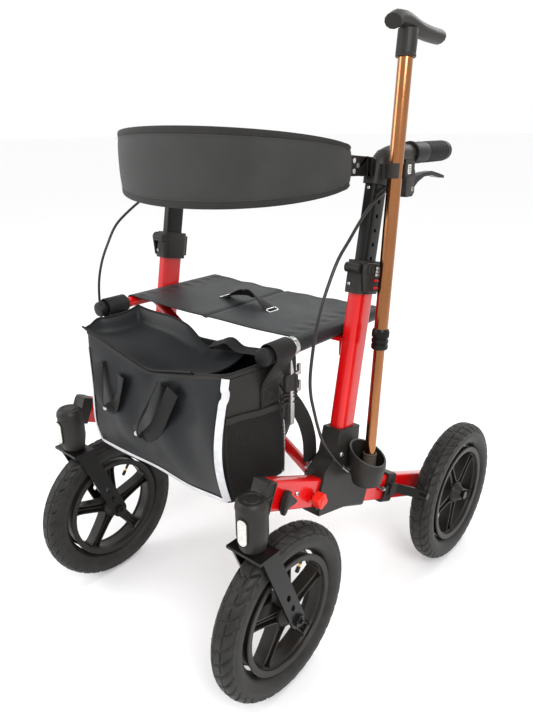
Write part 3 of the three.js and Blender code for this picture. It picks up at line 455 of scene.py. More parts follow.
def tyre(centre, sign):
    """A round section spun about the axle. Across the tread its radius drops into grooves: arcs that
    curve back from the middle line, cut where a wave along the rim, delayed by the square of the
    distance from the middle, is low, and two rings. The sidewall carries two fine raised lines."""
    turn, sweep = np.meshgrid(np.linspace(0, 2 * math.pi, 420, endpoint=False),
                              np.linspace(-math.pi, math.pi, 72), indexing="ij")
    middle = TYRE_R - TYRE_HALF
    radius = np.maximum(middle + (TYRE_HALF - 1.2) * np.cos(sweep), BEAD_R)
    across = (TYRE_HALF - 1.2) * np.sin(sweep)
    away = np.abs(sweep)
    blocks = 40
    late = 2.4 * np.minimum(away, 1.3) ** 2 + 0.5 * (sweep > 0)
    arcs = smooth_step(np.abs(np.sin(blocks / 2 * turn + late)), 0.16, 0.34)
    rings = smooth_step(np.abs(away - 0.34), 0.03, 0.07)
    shoulder = smooth_step(np.abs(away - 0.98), 0.02, 0.06)
    tread = 1 - smooth_step(away, 1.05, 1.25)
    height = 1.2 + tread * (arcs * rings * shoulder * 2.6 - 1.4)
    height = np.where(away > 1.25, 0.5 + 0.7 * np.exp(-((away - 1.5) / 0.03) ** 2)
                      + 0.6 * np.exp(-((away - 2.05) / 0.03) ** 2), height)
    radius = radius + height * np.cos(sweep) * (away < 2.2)
    across = across + height * np.sin(sweep) * (away < 2.4)
    radius = np.minimum(radius, TYRE_R - 0.02)
    points = np.stack([centre[0] + sign * across, centre[1] + radius * np.cos(turn),
                       centre[2] + radius * np.sin(turn)], -1)
    return skin(np.concatenate([points, points[:1]]), ends=False)


def hairs(centre, sign, random):
    """Fine rubber needles left by the mould's vents: thin cones standing off the tread."""
    needles = []
    for turn in np.arange(-0.2, 3.4, 0.13):
        sweep = random.uniform(-1.0, 1.0)
        level = math.cos(sweep)
        out = np.array([sign * math.sin(sweep), level * math.cos(turn), level * math.sin(turn)])
        hub_line = np.array([0, math.cos(turn), math.sin(turn)]) * (TYRE_R - TYRE_HALF)
        root = np.array(centre) + hub_line + out * (TYRE_HALF - 2)
        bend = out + random.uniform(-0.25, 0.25, 3)
        needles.append(turned([(0, 0), (0.45, 0), (0.2, 5), (0, 6.5)], root, bend, 5))
    return needles


def spoke(centre, turn):
    """An H section carried from the hub to the rim; its width grows at both ends in smooth fillets."""
    run = np.linspace(16, 95, 22)
    half = 8.2 + 5.5 * np.exp(-(run - 16) / 9) + 6 * np.exp(-(95 - run) / 7) + 2.2 * (95 - run) / 79
    wall, web, rib, deep, rib_deep = 2.4, 2.2, 0.9, 11.5, 8.5
    rings = []
    for h in half:
        corner = [(-h, -deep), (-h, deep), (wall - h, deep), (wall - h, web), (-rib, web), (-rib, rib_deep),
                  (rib, rib_deep), (rib, web), (h - wall, web), (h - wall, deep), (h, deep)]
        other = [(x, -y) for x, y in corner[::-1][:-1]]
        rings.append(corner + other[:-1])
    aside, out = np.moveaxis(np.array(rings), -1, 0)
    far = np.array([0, math.cos(turn), math.sin(turn)])
    near = np.array([0, -math.sin(turn), math.cos(turn)])
    points = centre + run[:, None, None] * far + aside[..., None] * near
    points = points + out[..., None] * np.array([1.0, 0, 0])
    return skin(points)


def wheel(end, side, s):
    """A tyre, a rim with its barrel, hub and five spokes, a valve, and the parts between them."""
    centre = HINGE[f"{end}_wheel_spin_{side}"]
    body = f"{end}_wheel_{side}"
    piece(f"{end}_tyre_tread_{side}", [tyre(centre, s)], tyre_rubber, body, (f"{end}_tyre_{side}",), 50)
    random = np.random.default_rng(7 if end == "front" else 8)
    piece(f"{end}_tyre_hairs_{side}", hairs(centre, s, random), tyre_rubber, body)
    lip, seat, well = BEAD_R - 0.5, BEAD_R - 4.5, 92
    half_barrel = [(well, 0), (well, 9), (well + 3, 13), (well + 1, 17.5), (well + 2, 19.5), (lip - 2, 20.5),
                   (lip, 19.5), (lip, 17), (seat, 15), (seat, 0)]
    barrel = half_barrel + [(r, -x) for r, x in half_barrel[::-1]][1:-1] + [half_barrel[0]]
    hub = [(0, HUB_HALF), (12, HUB_HALF), (13.5, HUB_HALF - 1.5), (16, 20), (22.5, 14.5), (24, 12), (24, -12),
           (22.5, -14.5), (16, -20), (13.5, 1.5 - HUB_HALF), (12, -HUB_HALF), (0, -HUB_HALF)]
    rim = [turned(barrel, centre, (1, 0, 0), 96), turned(hub, centre, (1, 0, 0), 40)]
    start = 0.30 if end == "front" else 0.75
    rim += [spoke(centre, start + k * 2 * math.pi / 5) for k in range(5)]
    piece(f"{end}_rim_spokes_{side}", rim, rim_plastic, body, (f"{end}_rim_{side}",), 32)
    turn = start + math.pi / 5
    inward = -np.array([0, math.cos(turn), math.sin(turn)])
    foot = centre - inward * (well + 1)
    stem = [(0, 0), (4, 0), (3.6, 3), (2.8, 5), (2.8, 13), (0, 13)]
    cap = [(0, 18), (3.4, 18), (3.6, 19), (3.6, 27), (2.8, 29), (0, 29)]
    piece(f"{end}_valve_stem_{side}", [turned(stem, foot, inward, 16), turned(cap, foot, inward, 12)],
          rim_plastic, body)
    thread_form = turned([(0, 12), (2.4, 12), (2.4, 18.5), (0, 18.5)], foot, inward, 12)
    piece(f"{end}_valve_thread_{side}", [thread_form],
          brass, body)


for side, s in SIDES.items():
    wheel("front", side, s)
    wheel("rear", side, s)

# ---------------------------------------------------------------------------------------------
# Casters: a moulded head closes the front of each rail and holds the fork's stem. Its arm has two
# deep windows, its cap a ring groove, and its nose a long pale reflector. The fork is bent steel.
# ---------------------------------------------------------------------------------------------
for side, s in SIDES.items():
    stem = HINGE[f"caster_swivel_{side}"]
    body = f"{side}_frame"
    finished(f"caster_head_{side}", black_plastic, roll=2)
    finished(f"fork_{side}", black_steel, roll=0.8)
    head_top = 398
    cap = [(0, 4), (12, 4), (13.5, 2.6), (15, 4), (20.5, 3.4), (24.2, -1), (25.6, -7), (25.6, -11),
           (24, -11), (0, -11)]
    cap_form = turned(cap, (stem[0], stem[1], head_top - 1), (0, 0, 1), 40)
    piece(f"head_cap_{side}", [cap_form], black_plastic, body)


    def on_nose(local, stem=stem, s=s):
        """Outlines wrapped round the head: x becomes an angle about the stem, y the height."""
        around, height, out = np.moveaxis(local, -1, 0)
        angle = around / 25 + 0.12 * s
        return np.stack([stem[0] + (25.2 + out) * np.sin(angle), stem[1] - (25.2 + out) * np.cos(angle),
                         356 + height], -1)


    piece(f"nose_reflector_{side}", [slab(rounded(15, 44, 7.3, 9), -0.5, 2.2, 1.2, on_nose)], reflector, body)
    rim_line = rounded(18, 47, 8.8, 9)
    ring_path = on_nose(np.column_stack([rim_line, np.full(len(rim_line), 0.6)]))
    closed = np.concatenate([ring_path, ring_path[:2]])
    out_of_head = closed - np.array([stem[0], stem[1], 0]) * (1, 1, 0) - np.array([0, 0, 1]) * closed[:, 2:]
    frame_form = carried(rounded(1.6, 2.6, 0.6, 3), closed, up=out_of_head)
    piece(f"nose_frame_{side}", [frame_form], black_plastic, body)
    face = s * 14
    low, high, front, rear = -26, 23, -617, -597.5
    rim = [(front + 5, low), (rear, low), (rear, high), (front + 5, high), (front, high - 5),
           (front, low + 5)]
    edges = [RAIL[side]([(face, *rim[k]), (face, *rim[(k + 1) % 6])]) for k in range(6)]
    bars = [carried(rounded(3.2, 4, 0.8, 3), edge, up=(s, 0, 0)) for edge in edges]
    bars += [carried(rounded(4, 4, 0.8, 3), RAIL[side]([(face, front, -4), (face, rear, 2)]), up=(s, 0, 0))]
    piece(f"head_windows_{side}", bars, black_plastic, body)


    def on_arm(local, side=side, s=s):
        """Outlines drawn as (along the rail, height), standing off the side of the head's arm."""
        along, height, out = np.moveaxis(local, -1, 0)
        return RAIL[side](np.stack([s * (14 + out), along, height], -1))


    # The windows' depth is painted shade: a dark steel plate at the arm's face, inside the raised frames, stands
    # for the shade within them.
    window = [(front + 3, low + 3), (rear, low + 3), (rear, high - 3), (front + 3, high - 3)]
    window_shade_plate = slab(window, -0.4, 0.6, 0.3, on_arm)
    piece(f"head_window_shade_{side}", [window_shade_plate], black_steel, body)
    axle = HINGE[f"front_wheel_spin_{side}"]
    nuts = [turned([(0, 0), (8, 0), (8, 5), (7, 6.2), (4, 6.2), (4, 9), (3, 10), (0, 10)],
                   axle + np.array([x, 0, 0]), (x, 0, 0), 6) for x in (35.2, -35.2)]
    piece(f"axle_nuts_{side}", nuts, black_steel, f"caster_{side}")

# ---------------------------------------------------------------------------------------------
# Bag hooks and knobs: a black moulded wing with a hollow front edge is screwed to the rail behind
# each head, for a bag's handle, and an orange knob stands on the rail ahead of the shell.
# ---------------------------------------------------------------------------------------------
orange = finish("orange_plastic", (0.75, 0.022, 0.010), 0.36, tone=0.08, coat=0.3)
for side, s in SIDES.items():


    def on_side(local, side=side, s=s):
        """Outlines drawn as (along the rail, height), standing off the rail's outer face."""
        along, height, out = np.moveaxis(local, -1, 0)
        return RAIL[side](np.stack([s * (12 + out), along, height], -1))


    rise = np.linspace(0, 1, 9)
    back = np.column_stack([-560 + 22 * np.sin(math.pi * rise) ** 3, -23 + 33 * rise])
    front_edge = np.column_stack([-570 - 3 * np.sin(math.pi * rise), 10 - 33 * rise])
    wing = slab(np.concatenate([back, front_edge]), 0, 9, 2, on_side)
    lip_path = on_side(np.column_stack([-571 - 3 * np.sin(math.pi * rise), -25 + 37 * rise, np.full(9, 10)]))
    swell = 0.55 + 0.45 * np.sin(math.pi * rise) ** 0.5
    lip = carried(rounded(8, 15, 3.4, 4), lip_path, up=(s, 0, 0), scale=swell)
    piece(f"bag_hook_{side}", [wing, lip], black_plastic, f"{side}_frame")
    piece(f"rail_screw_{side}", [screw(RAIL[side]((s * 12, -533, 3)), (s, 0, 0), 4)], zinc, f"{side}_frame")
    finished(f"knob_{side}", orange, roll=2)
    knob = HINGE[f"knob_turn_{side}"]
    piece(f"knob_boss_{side}", [turned([(0, -0.5), (7.5, -0.5), (7.5, 0.8), (6.6, 1.6), (3, 1.2), (0, 1.2)],
          (s * (FRAME_X + 33.2), knob[1], knob[2]), (s, 0, 0), 24)], orange, f"knob_{side}")

# ---------------------------------------------------------------------------------------------
# Scissor braces: two red tubes cross under the seat on a bolt. A zinc catch hangs from the right
# seat rail and locks the frame. The seat rails end in soft black grips with ribs at their root.
# ---------------------------------------------------------------------------------------------
for brace in ("brace_a", "brace_b"):
    finished(brace, red_paint, roll=0.5)
finished("brace_centre_bolt", zinc, roll=0.5)
finished("folding_catch", zinc, roll=0.5)
grip_rubber = finish("grip_rubber", (0.007, 0.007, 0.007), 0.5, tone=0.2, grain=0.4,
                     grain_scale=1800, depth=0.0003)
for side, s in SIDES.items():
    low, high = (np.array(corner) * 1000 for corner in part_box(f"seat_grip_{side}"))
    centre = np.array([s * 204, low[1], 590])
    length = high[1] - low[1]
    profile = [(0, 0), (9, 0), (12.5, 1.2), (14, 4), (14.2, 9), (13.2, 11), (13.2, length - 20)]
    for k in range(3):
        root = length - 18 + 6 * k
        profile += [(13.0, root), (14.6, root + 0.8), (14.6, root + 3.2), (12.6, root + 4)]
    profile += [(12.4, length), (10.4, length), (10.4, 12), (0, 12)]
    piece(f"seat_rail_grip_{side}", [turned(profile, centre, (0, 1, 0), 32)], grip_rubber,
          BODY_OF[f"seat_grip_{side}"], (f"seat_grip_{side}",))

# ---------------------------------------------------------------------------------------------
# Seat: a doubled sheet of black coated nylon, sewn into a sleeve round each rail and creased down
# its middle where it folds. A webbing pull strap is held by two small steel loops.
# ---------------------------------------------------------------------------------------------
seat_cloth = finish("seat_cloth", (0.010, 0.0125, 0.014), 0.45, tone=0.2, tone_scale=14, sheen=0.04,
                    weave=900, grain=0.35, depth=0.00025, spread=0.12)
webbing = finish("black_webbing", (0.009, 0.008, 0.0075), 0.6, tone=0.2, weave=520, grain=0.7,
                 depth=0.0004, sheen=0.03)
steel = finish("bright_steel", (0.7, 0.7, 0.7), 0.2, metallic=1.0, tone=0.05, grain=0.05)
SEAT_Z, RAIL_X, RAIL_Z, SLEEVE_R = 604, 204, 590, 12.4
seat_front, seat_rear = (float(corner[1]) * 1000 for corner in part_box("seat_fabric"))


def seat_height(x, y):
    """A shallow hammock: it sags to the middle, dips along the crease and ripples near its corners."""
    away = np.abs(x) / 195
    crease = -2.6 * np.exp(-((x + 4 + 0.03 * y) / 5) ** 2)
    near_corner = np.exp(-((y - 30) / 60) ** 2) * np.exp(-((away - 0.5) / 0.35) ** 2)
    pull = 1.4 * np.sin(0.09 * (x + 0.9 * y)) * near_corner
    pucker = 0.8 * np.sin(0.22 * y) * np.exp(-((1 - away) / 0.12) ** 2)
    return SEAT_Z - 1.4 - 5 * (1 - away ** 2).clip(0) + crease + pull + pucker


turn = np.linspace(-2.6, 0, 14)[:-1]
sleeve = np.column_stack([-RAIL_X + SLEEVE_R * np.sin(turn), RAIL_Z + SLEEVE_R * np.cos(turn)])
flat_x = np.linspace(-RAIL_X, RAIL_X, 110)
deep = np.linspace(seat_front, seat_rear, 60)
grid_x = np.concatenate([sleeve[:, 0], flat_x, -sleeve[::-1, 0]])
top = np.concatenate([sleeve[:, 1], np.zeros(len(flat_x)), sleeve[::-1, 1]])
xx, yy = np.meshgrid(grid_x, deep, indexing="ij")
on_top = np.abs(np.arange(len(grid_x)) - (len(grid_x) - 1) / 2) < len(flat_x) / 2
zz = np.where(on_top[:, None], seat_height(xx, yy), top[:, None])
ramp = smooth_step(np.abs(xx), RAIL_X - 14, RAIL_X - 2)
zz = np.where(on_top[:, None], zz * (1 - ramp) + (RAIL_Z + SLEEVE_R) * ramp, zz)
wave = 1.6 * np.sin(xx / 31) * (1 - (np.abs(xx) / RAIL_X).clip(0, 1))
yy = yy + np.where(yy < -150, wave, 0) - 4 * np.exp(-(np.abs(xx) / 90) ** 2) * smooth_step(-yy, 140, 183) * -1
seat = piece("seat_sheet", [skin(np.stack([xx, yy, zz], -1), around=False, ends=False)], seat_cloth,
             None, ("seat_fabric",), 60)
thickness = seat.modifiers.new("two_layers", "SOLIDIFY")
thickness.thickness = 0.0016
thickness.offset = 0
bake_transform(seat)


def seam(name, line, lift, body, gap=4.2, length=2.6):
    """A row of stitches: short flattened threads laid end to end along a line, each lifted a little."""
    line = np.array(line, float)
    far = np.append(0, np.cumsum(np.linalg.norm(np.diff(line, axis=0), axis=1)))
    starts = np.arange(gap / 2, far[-1] - length, gap)
    threads = []
    for start in starts:
        at = np.linspace(start, start + length, 3)
        mid = np.column_stack([np.interp(at, far, line[:, k]) for k in range(3)])
        mid[1] += np.array(lift) * 0.25
        threads.append(carried([(0.3, 0), (0, 0.22), (-0.3, 0), (0, -0.22)], mid, up=lift))
    return piece(name, threads, thread, body)


thread = finish("sewing_thread", (0.045, 0.043, 0.042), 0.6, tone=0.1, sheen=0.1)
hems = []
for number, level in enumerate((seat_front + 9, seat_rear - 9)):
    along = np.linspace(-188, 188, 90)
    shift = 0 if number else 4 * np.exp(-(np.abs(along) / 90) ** 2)
    depth = np.full(90, level) + shift
    rows = np.column_stack([along, depth, seat_height(along, depth) + 1.2])
    hems.append(seam(f"seat_hem_seam_{number}", rows, (0, 0, 1), None))
for number, level in enumerate((-186, 186)):
    depth = np.linspace(seat_front + 4, seat_rear - 4, 60)
    rows = np.column_stack([np.full(60, level), depth, seat_height(np.full(60, level), depth) + 1.3])
    hems.append(seam(f"seat_sleeve_seam_{number}", rows, (0, 0, 1), None))

share = np.linspace(0, 1, 36)
loop_a, loop_b = np.array([-62.0, -66, 0]), np.array([74.0, -84, 0])
strap_line = loop_a + share[:, None] * (loop_b - loop_a)
strap_line[:, 2] = seat_height(strap_line[:, 0], strap_line[:, 1]) + 2.4 + 17 * np.sin(math.pi * share) ** 1.4
strap_line[:, 1] += 9 * np.sin(math.pi * share) ** 2
twist = 0.75 * np.sin(math.pi * share) ** 2
lean_up = np.column_stack([np.zeros(36), np.sin(twist), np.cos(twist)])
strap = carried(rounded(27, 1.8, 0.8, 3), strap_line, up=lean_up, scale=np.column_stack(
    [0.72 + 0.28 * np.sin(math.pi * share), np.ones(36)]))
hems.append(piece("seat_pull_strap", [strap], webbing, None, crease=50))
loops = []
for foot, way in ((loop_a, 1), (loop_b, -1)):
    ring = rounded(9, 25, 3.5, 6)
    level = seat_height(foot[0], foot[1]) + 2.8
    path = np.column_stack([foot[0] + ring[:, 0], foot[1] + ring[:, 1], level + 0.35 * ring[:, 0] * way])
    loops.append(carried(rounded(2.2, 2.2, 1.05, 4), np.concatenate([path, path[:2]])))
hems.append(piece("seat_strap_loops", loops, steel, None))
for part in hems:
    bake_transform(part)

# ---------------------------------------------------------------------------------------------
# Handles: a black anodised flat tube slides in each upright. A moulded gooseneck carries a ribbed
# rubber grip, the brake housing with a pale size plate, its lever, and a steel plate to the band.
# ---------------------------------------------------------------------------------------------
GRIP_Z = 862
for side, s in SIDES.items():
    body = f"handle_{side}"
    finished(f"handle_tube_{side}", black_steel, roll=0.8)
    finished(f"handle_neck_{side}", black_plastic, roll=1.6, angle=50)
    finished(f"brake_housing_{side}", black_plastic, roll=1.8)
    finished(f"brake_lever_{side}", black_steel, roll=1.2)
    finished(f"backrest_bracket_{side}", black_steel, roll=1)
    low, high = (np.array(corner) * 1000 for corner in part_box(f"grip_{side}"))
    run = high[1] - low[1]
    profile = [(15, 0), (18.8, 0), (19.2, 1), (19.2, 4), (18.2, 5), (17.2, 5.6), (17.4, 12), (17.6, 34),
               (17.0, 46)]
    for k in range(11):
        root = 48 + 6 * k
        profile += [(16.4, root), (17.5, root + 1.2), (17.6, root + 3.4), (16.6, root + 5)]
    profile += [(16.8, run - 13), (16.2, run - 7), (13, run - 2), (8, run - 0.3), (0, run)]
    grip = turned(profile, (s * FRAME_X, low[1], GRIP_Z), (0, 1, 0), 40)
    piece(f"ribbed_grip_{side}", [grip], grip_rubber, body, (f"grip_{side}",), 40)
    random = np.random.default_rng(3)
    bumps = []
    for ring, count in ((3.5, 6), (7.5, 12), (11.5, 18)):
        for k in range(count):
            angle = 2 * math.pi * (k + 0.5 * (ring > 5)) / count
            spot = (s * FRAME_X + ring * math.cos(angle), low[1] + run - 0.4 - (ring / 13) ** 3 * 2.4,
                    GRIP_Z + ring * math.sin(angle))
            bumps.append(turned([(0, 0.9), (0.8, 0.5), (0.9, -0.5), (0, -0.5)], spot, (0, 1, 0), 6))
    piece(f"grip_end_bumps_{side}", bumps, grip_rubber, body)


    def on_housing(local, s=s):
        """Outlines drawn as (depth, height) on the housing's outer face."""
        depth, height, out = np.moveaxis(local, -1, 0)
        return np.stack([s * (FRAME_X + 13 + out), depth, height], -1)


    plate = slab(rounded(10, 15, 1.5, 4) + (58, 838), -0.3, 0.9, 0.4, on_housing)
    piece(f"size_plate_{side}", [plate], reflector, body)
    ribs = [slab(rounded(7, 1, 0.4, 3) + (58, 833.5 + 3 * k), 0.6, 1.3, 0.3, on_housing) for k in range(4)]
    piece(f"size_plate_ribs_{side}", ribs, black_plastic, body)
    lid = slab(rounded(27, 30, 4, 5) + (62, 812), -0.4, 1.1, 0.8, on_housing)
    piece(f"housing_lid_{side}", [lid], black_plastic, body)
    pivot = HINGE[f"brake_lever_{side}"]
    pins = [turned([(0, 0), (4, 0), (3.6, 1.6), (2, 1.8), (1.8, 0.8), (0, 0.8)],
                   (pivot[0] + way * 12.6, pivot[1], pivot[2]), (way, 0, 0), 18) for way in (-1, 1)]
    piece(f"lever_pin_{side}", pins, zinc, body)
    piece(f"tube_button_{side}", [screw(UPRIGHT[side]((0, -20, 508)), (0, -1, 0), 2.6)], zinc, body)
    inward = -s
    rivets = [turned([(0, 1.8), (3.2, 1.3), (3.8, 0), (3.8, -7), (0, -7)],
                     (s * (FRAME_X - 3.2), y, z), (inward, 0, 0), 16)
              for y, z in ((-88, 858), (-88, 843), (-78, 850.5))]
    piece(f"bracket_rivets_{side}", rivets, steel, body)

# ---------------------------------------------------------------------------------------------
# Backrest: a foam band in dark grey brushed cloth, wide in its middle and narrow at its ends,
# bound all round in a turned hem with a row of stitches, and riveted to both handle plates.
# ---------------------------------------------------------------------------------------------
band_cloth = finish("backrest_cloth", (0.036, 0.035, 0.034), 0.66, tone=0.12, tone_scale=16, weave=820,
                    grain=0.5, depth=0.0003, sheen=0.1)
hem_cloth = finish("band_hem_cloth", (0.020, 0.019, 0.018), 0.66, tone=0.12, weave=900, grain=0.6,
                   depth=0.0003, sheen=0.06)
BAND_Z, BAND_END_Y, BAND_BULGE = 850, -97, 150


def band_point(run, rise, out):
    """A half ellipse seen from above, from the left plate to the right one: run goes from -1 to 1, rise
    is the share of the half height, and out the distance along the outward normal."""
    angle = run * math.pi / 2
    bow = np.cos(angle)
    normal_x, normal_y = np.sin(angle) * BAND_BULGE, -np.cos(angle) * FRAME_X
    size = np.hypot(normal_x, normal_y)
    half = 29 + 31 * np.maximum(bow, 0) ** 0.8
    return np.stack([np.sin(angle) * FRAME_X + normal_x / size * out,
                     BAND_END_Y - BAND_BULGE * bow + normal_y / size * out,
                     BAND_Z + rise * half + 0 * out], -1)


def band_skin(low, high, thick, bulge, columns=90):
    """The band between two shares of its height: a flat oval section swept from plate to plate."""
    around = np.linspace(0, 2 * math.pi, 44, endpoint=False)
    run, ring = np.meshgrid(np.linspace(-1, 1, columns), around, indexing="ij")
    rise = np.sign(np.cos(ring)) * np.abs(np.cos(ring)) ** 0.55
    out = np.sign(np.sin(ring)) * np.abs(np.sin(ring)) ** 0.6 * (thick / 2)
    rise = (high + low) / 2 + rise * (high - low) / 2
    cushion = bulge * (1 - (2 * (rise - low) / (high - low) - 1) ** 2).clip(0) ** 0.7
    fold = 0.5 * np.sin(run * 23) * np.exp(-((1 - np.abs(run)) / 0.25) ** 2)
    return skin(band_point(run, rise, out + np.sign(out) * cushion + fold))


band = piece("backrest_pad", [band_skin(-0.86, 0.86, 6, 2.2)], band_cloth, "handle_right", ("backrest",), 60)
rims = [band_skin(-1.0, -0.80, 5.6, 0.6), band_skin(0.80, 1.0, 5.6, 0.6)]
for way in (-1, 1):
    around = np.linspace(0, 2 * math.pi, 20, endpoint=False)
    rise, ring = np.meshgrid(np.linspace(-0.99, 0.99, 24), around, indexing="ij")
    run = way * (0.965 + 0.03 * np.cos(ring))
    rims.append(skin(band_point(run, rise, 3.4 * np.sign(np.sin(ring)) * np.abs(np.sin(ring)) ** 0.6)))
rim = piece("backrest_hem", rims, hem_cloth, "handle_right", crease=60)
run = np.linspace(-0.93, 0.93, 220)
band_seams = []
for k, level in enumerate((-0.79, 0.79)):
    line = band_point(run, np.full(220, level), np.full(220, 4.4))
    band_seams.append(seam(f"backrest_seam_{k}", line, (0, -1, 0.02), "handle_right", 4.6, 3))
rise = np.linspace(-0.78, 0.78, 40)
band_seams += [seam(f"backrest_end_seam_{k}", band_point(np.full(40, way), rise, np.full(40, 4.2)),
                    (0.7 * np.sign(way), -0.7, 0.02), "handle_right", 4.6, 3)
               for k, way in enumerate((-0.93, -0.9, 0.9, 0.93))]
for part in [band, rim] + band_seams:
    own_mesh(part)

# ---------------------------------------------------------------------------------------------
# Bag: an open shopping bag of coated nylon with a zipped lid, hung from both seat grips. Its front
# edge sags, a grey reflecting tape follows its front seams, and a net pocket covers its right side.
# ---------------------------------------------------------------------------------------------
bag_cloth = finish("bag_cloth", (0.0065, 0.0075, 0.009), 0.4, tone=0.22, tone_scale=11, weave=1100,
                   grain=0.3, depth=0.0002, sheen=0.02, spread=0.14)
side_cloth = finish("bag_side_cloth", (0.021, 0.0195, 0.018), 0.6, tone=0.14, tone_scale=16, weave=1000,
                    grain=0.4, depth=0.0002, sheen=0.04)
tape_grey = finish("reflecting_tape", (0.60, 0.60, 0.62), 0.32, tone=0.1, tone_scale=60, grain=0.5,
                   grain_scale=2600, depth=0.0002)
BAG_BODY = BODY_OF["bag"]
BAG_FLOOR = 353
CORNER = 16


def bag_plan(height):
    """The bag's left, right, front and rear walls at a share of its height. The left wall is drawn in
    at its middle, the front one bulges, and the rear one leans forward at the top to clear the seat."""
    left = -164 - 8 * height + 13 * np.sin(math.pi * height).clip(0) ** 1.5
    right = 178 + 10 * np.sqrt(height.clip(0)) - 3 * np.sin(math.pi * height)
    front = -309 - 17 * np.sin(math.pi * height.clip(0, 1) ** 0.8) - 4 * height
    rear = -172 - 18 * smooth_step(height, 0.35, 0.8)
    return left, right, front, rear


def bag_wall(around, height):
    """A point on the bag: around runs 0..1 along the front from left to right, 1..2 back along the
    right side, 2..3 along the rear and 3..4 forward on the left. The corners are rounded over CORNER mm."""
    left, right, front, rear = bag_plan(height)
    side_turn = around % 4

    def ease(q):
        """A share of a wall, drawn a little towards its ends."""
        return (1 - np.cos(math.pi * q.clip(0, 1))) / 2 * 0.35 + q.clip(0, 1) * 0.65

    sides = [side_turn <= 1, side_turn <= 2, side_turn <= 3]
    along = [left + (right - left) * ease(side_turn), right, right + (left - right) * ease(side_turn - 2)]
    x = np.select(sides, along, left)
    deep = [front, front + (rear - front) * ease(side_turn - 1), rear]
    y = np.select(sides, deep, rear + (front - rear) * ease(side_turn - 3))
    middle_x, middle_y = (left + right) / 2, (front + rear) / 2
    half_x, half_y = (right - left) / 2, (rear - front) / 2
    u, v = (x - middle_x) / half_x, (y - middle_y) / half_y
    cut_x, cut_y = CORNER / half_x, CORNER / half_y
    reach = np.hypot((np.abs(u) - 1 + cut_x).clip(0) / cut_x, (np.abs(v) - 1 + cut_y).clip(0) / cut_y)
    pull = np.where(reach > 1, 1 / np.maximum(reach, 1), 1)
    u = np.where(reach > 1, np.sign(u) * (1 - cut_x + (np.abs(u) - 1 + cut_x) * pull), u)
    v = np.where(reach > 1, np.sign(v) * (1 - cut_y + (np.abs(v) - 1 + cut_y) * pull), v)
    x, y = middle_x + u * half_x, middle_y + v * half_y
    on_front = np.exp(-((np.minimum(side_turn, 4 - side_turn) - 0.5) / 0.75) ** 4) * (side_turn < 1.05)
    drape = 3.2 * np.sin(0.052 * x + 4.5 * height) * np.sin(math.pi * height.clip(0, 1))
    fold = 5 * np.exp(-((x - 8 - 85 * (height - 0.85)) / 26) ** 2) * smooth_step(height, 0.2, 0.8)
    dent = 6 * np.exp(-((x - 70) / 46) ** 2 - ((height - 0.66) / 0.16) ** 2)
    y = y + (drape + fold + dent) * on_front
    on_right = (side_turn > 1) * (side_turn < 2) * np.sin(math.pi * (side_turn - 1).clip(0, 1))
    x = x + (2.5 * np.sin(0.06 * y + 6 * height) - 1.5) * on_right
    return x, y


def bag_brim(x, y):
    """The height of the top edge: the front sags in a soft V to its middle, the sides rise to the grips."""
    front = 534 + 0.235 * np.sqrt((x - 8) ** 2 + 12 ** 2)
    rear = 560 + 0.05 * np.abs(x)
    return front + (rear - front) * smooth_step(y, -300, -200)


def bag_point(around, height):
    """The wall point at a share of the height between the floor and the sagging brim."""
    x, y = bag_wall(around, height)
    floor_level = BAG_FLOOR + 3 * np.cos(0.03 * x)
    return np.stack([x, y, floor_level + (bag_brim(x, y) - floor_level) * height], -1)


def bag_rows(inset, levels, columns=240):
    """Rings of the bag at some heights, drawn in by inset millimetres towards its middle."""
    height, around = np.meshgrid(levels, np.linspace(0, 4, columns, endpoint=False), indexing="ij")
    points = bag_point(around, height)
    middle = points.mean(axis=1, keepdims=True)
    shift = points - middle
    shift[..., :1] *= 1 - inset / np.abs(shift[..., :1]).max(axis=1, keepdims=True)
    shift[..., 1:2] *= 1 - inset / np.abs(shift[..., 1:2]).max(axis=1, keepdims=True)
    return middle + shift


levels = np.linspace(0, 1, 46)
outside = bag_rows(0, levels)
inside = bag_rows(1.6, levels[::-1])
foot = bag_rows(0, levels[:1])[0]
under = [foot * share + foot.mean(axis=0) * (1 - share) for share in (0.05, 0.5, 0.93)]
under = np.array([row - (0, 0, 4 * (1 - (k / 3))) for k, row in enumerate(under)])
over = np.array([row + (0, 0, 2.5) for row in under[::-1]])
bag_form = skin(np.concatenate([under, outside, inside, over]))
bag = piece("bag_shell", [bag_form], bag_cloth, BAG_BODY, ("bag",), 60)


def bag_band(around, height, width, thick, name, material, lift=0.8):
    """A flat tape laid on the bag's wall along a line of (around, height), standing off it by lift."""
    line = bag_point(np.array(around, float), np.array(height, float))
    ahead = bag_point(np.array(around, float) + 0.002, np.array(height, float))
    upward = bag_point(np.array(around, float), np.array(height, float) + 0.004)
    out = np.cross(ahead - line, upward - line)
    out /= np.linalg.norm(out, axis=1)[:, None]
    line = line + out * lift
    strip = carried(rounded(width, thick, thick * 0.45, 3), line, up=out)
    return piece(name, [strip], material, BAG_BODY, crease=50)


soft = [bag]
rise = np.linspace(0.03, 0.86, 50)
soft.append(bag_band(np.full(50, 0.035), rise, 9, 1.4, "tape_front_left", tape_grey, 1.4))
soft.append(bag_band(np.linspace(0.03, 0.985, 110), 0.03 + 0.008 * np.sin(np.linspace(0, 9, 110)), 9, 1.4,
                     "tape_front_bottom", tape_grey, 1.4))
high_rise = np.linspace(0.03, 0.97, 60)
kink = 0.03 * smooth_step(high_rise, 0.80, 0.84) * (1 - smooth_step(high_rise, 0.86, 0.9))
soft.append(bag_band(0.985 + kink, high_rise, 12, 1.4, "tape_front_right", tape_grey, 1.4))
soft.append(bag_band(np.full(36, 1.93), np.linspace(0.03, 0.46, 36), 9, 1.4, "tape_rear_right",
                     tape_grey, 1.6))
soft.append(bag_band(np.full(40, 2.93), np.linspace(0.03, 0.9, 40), 9, 1.4, "tape_rear_left", tape_grey, 1.6))
brim_run = np.linspace(0, 4, 260)
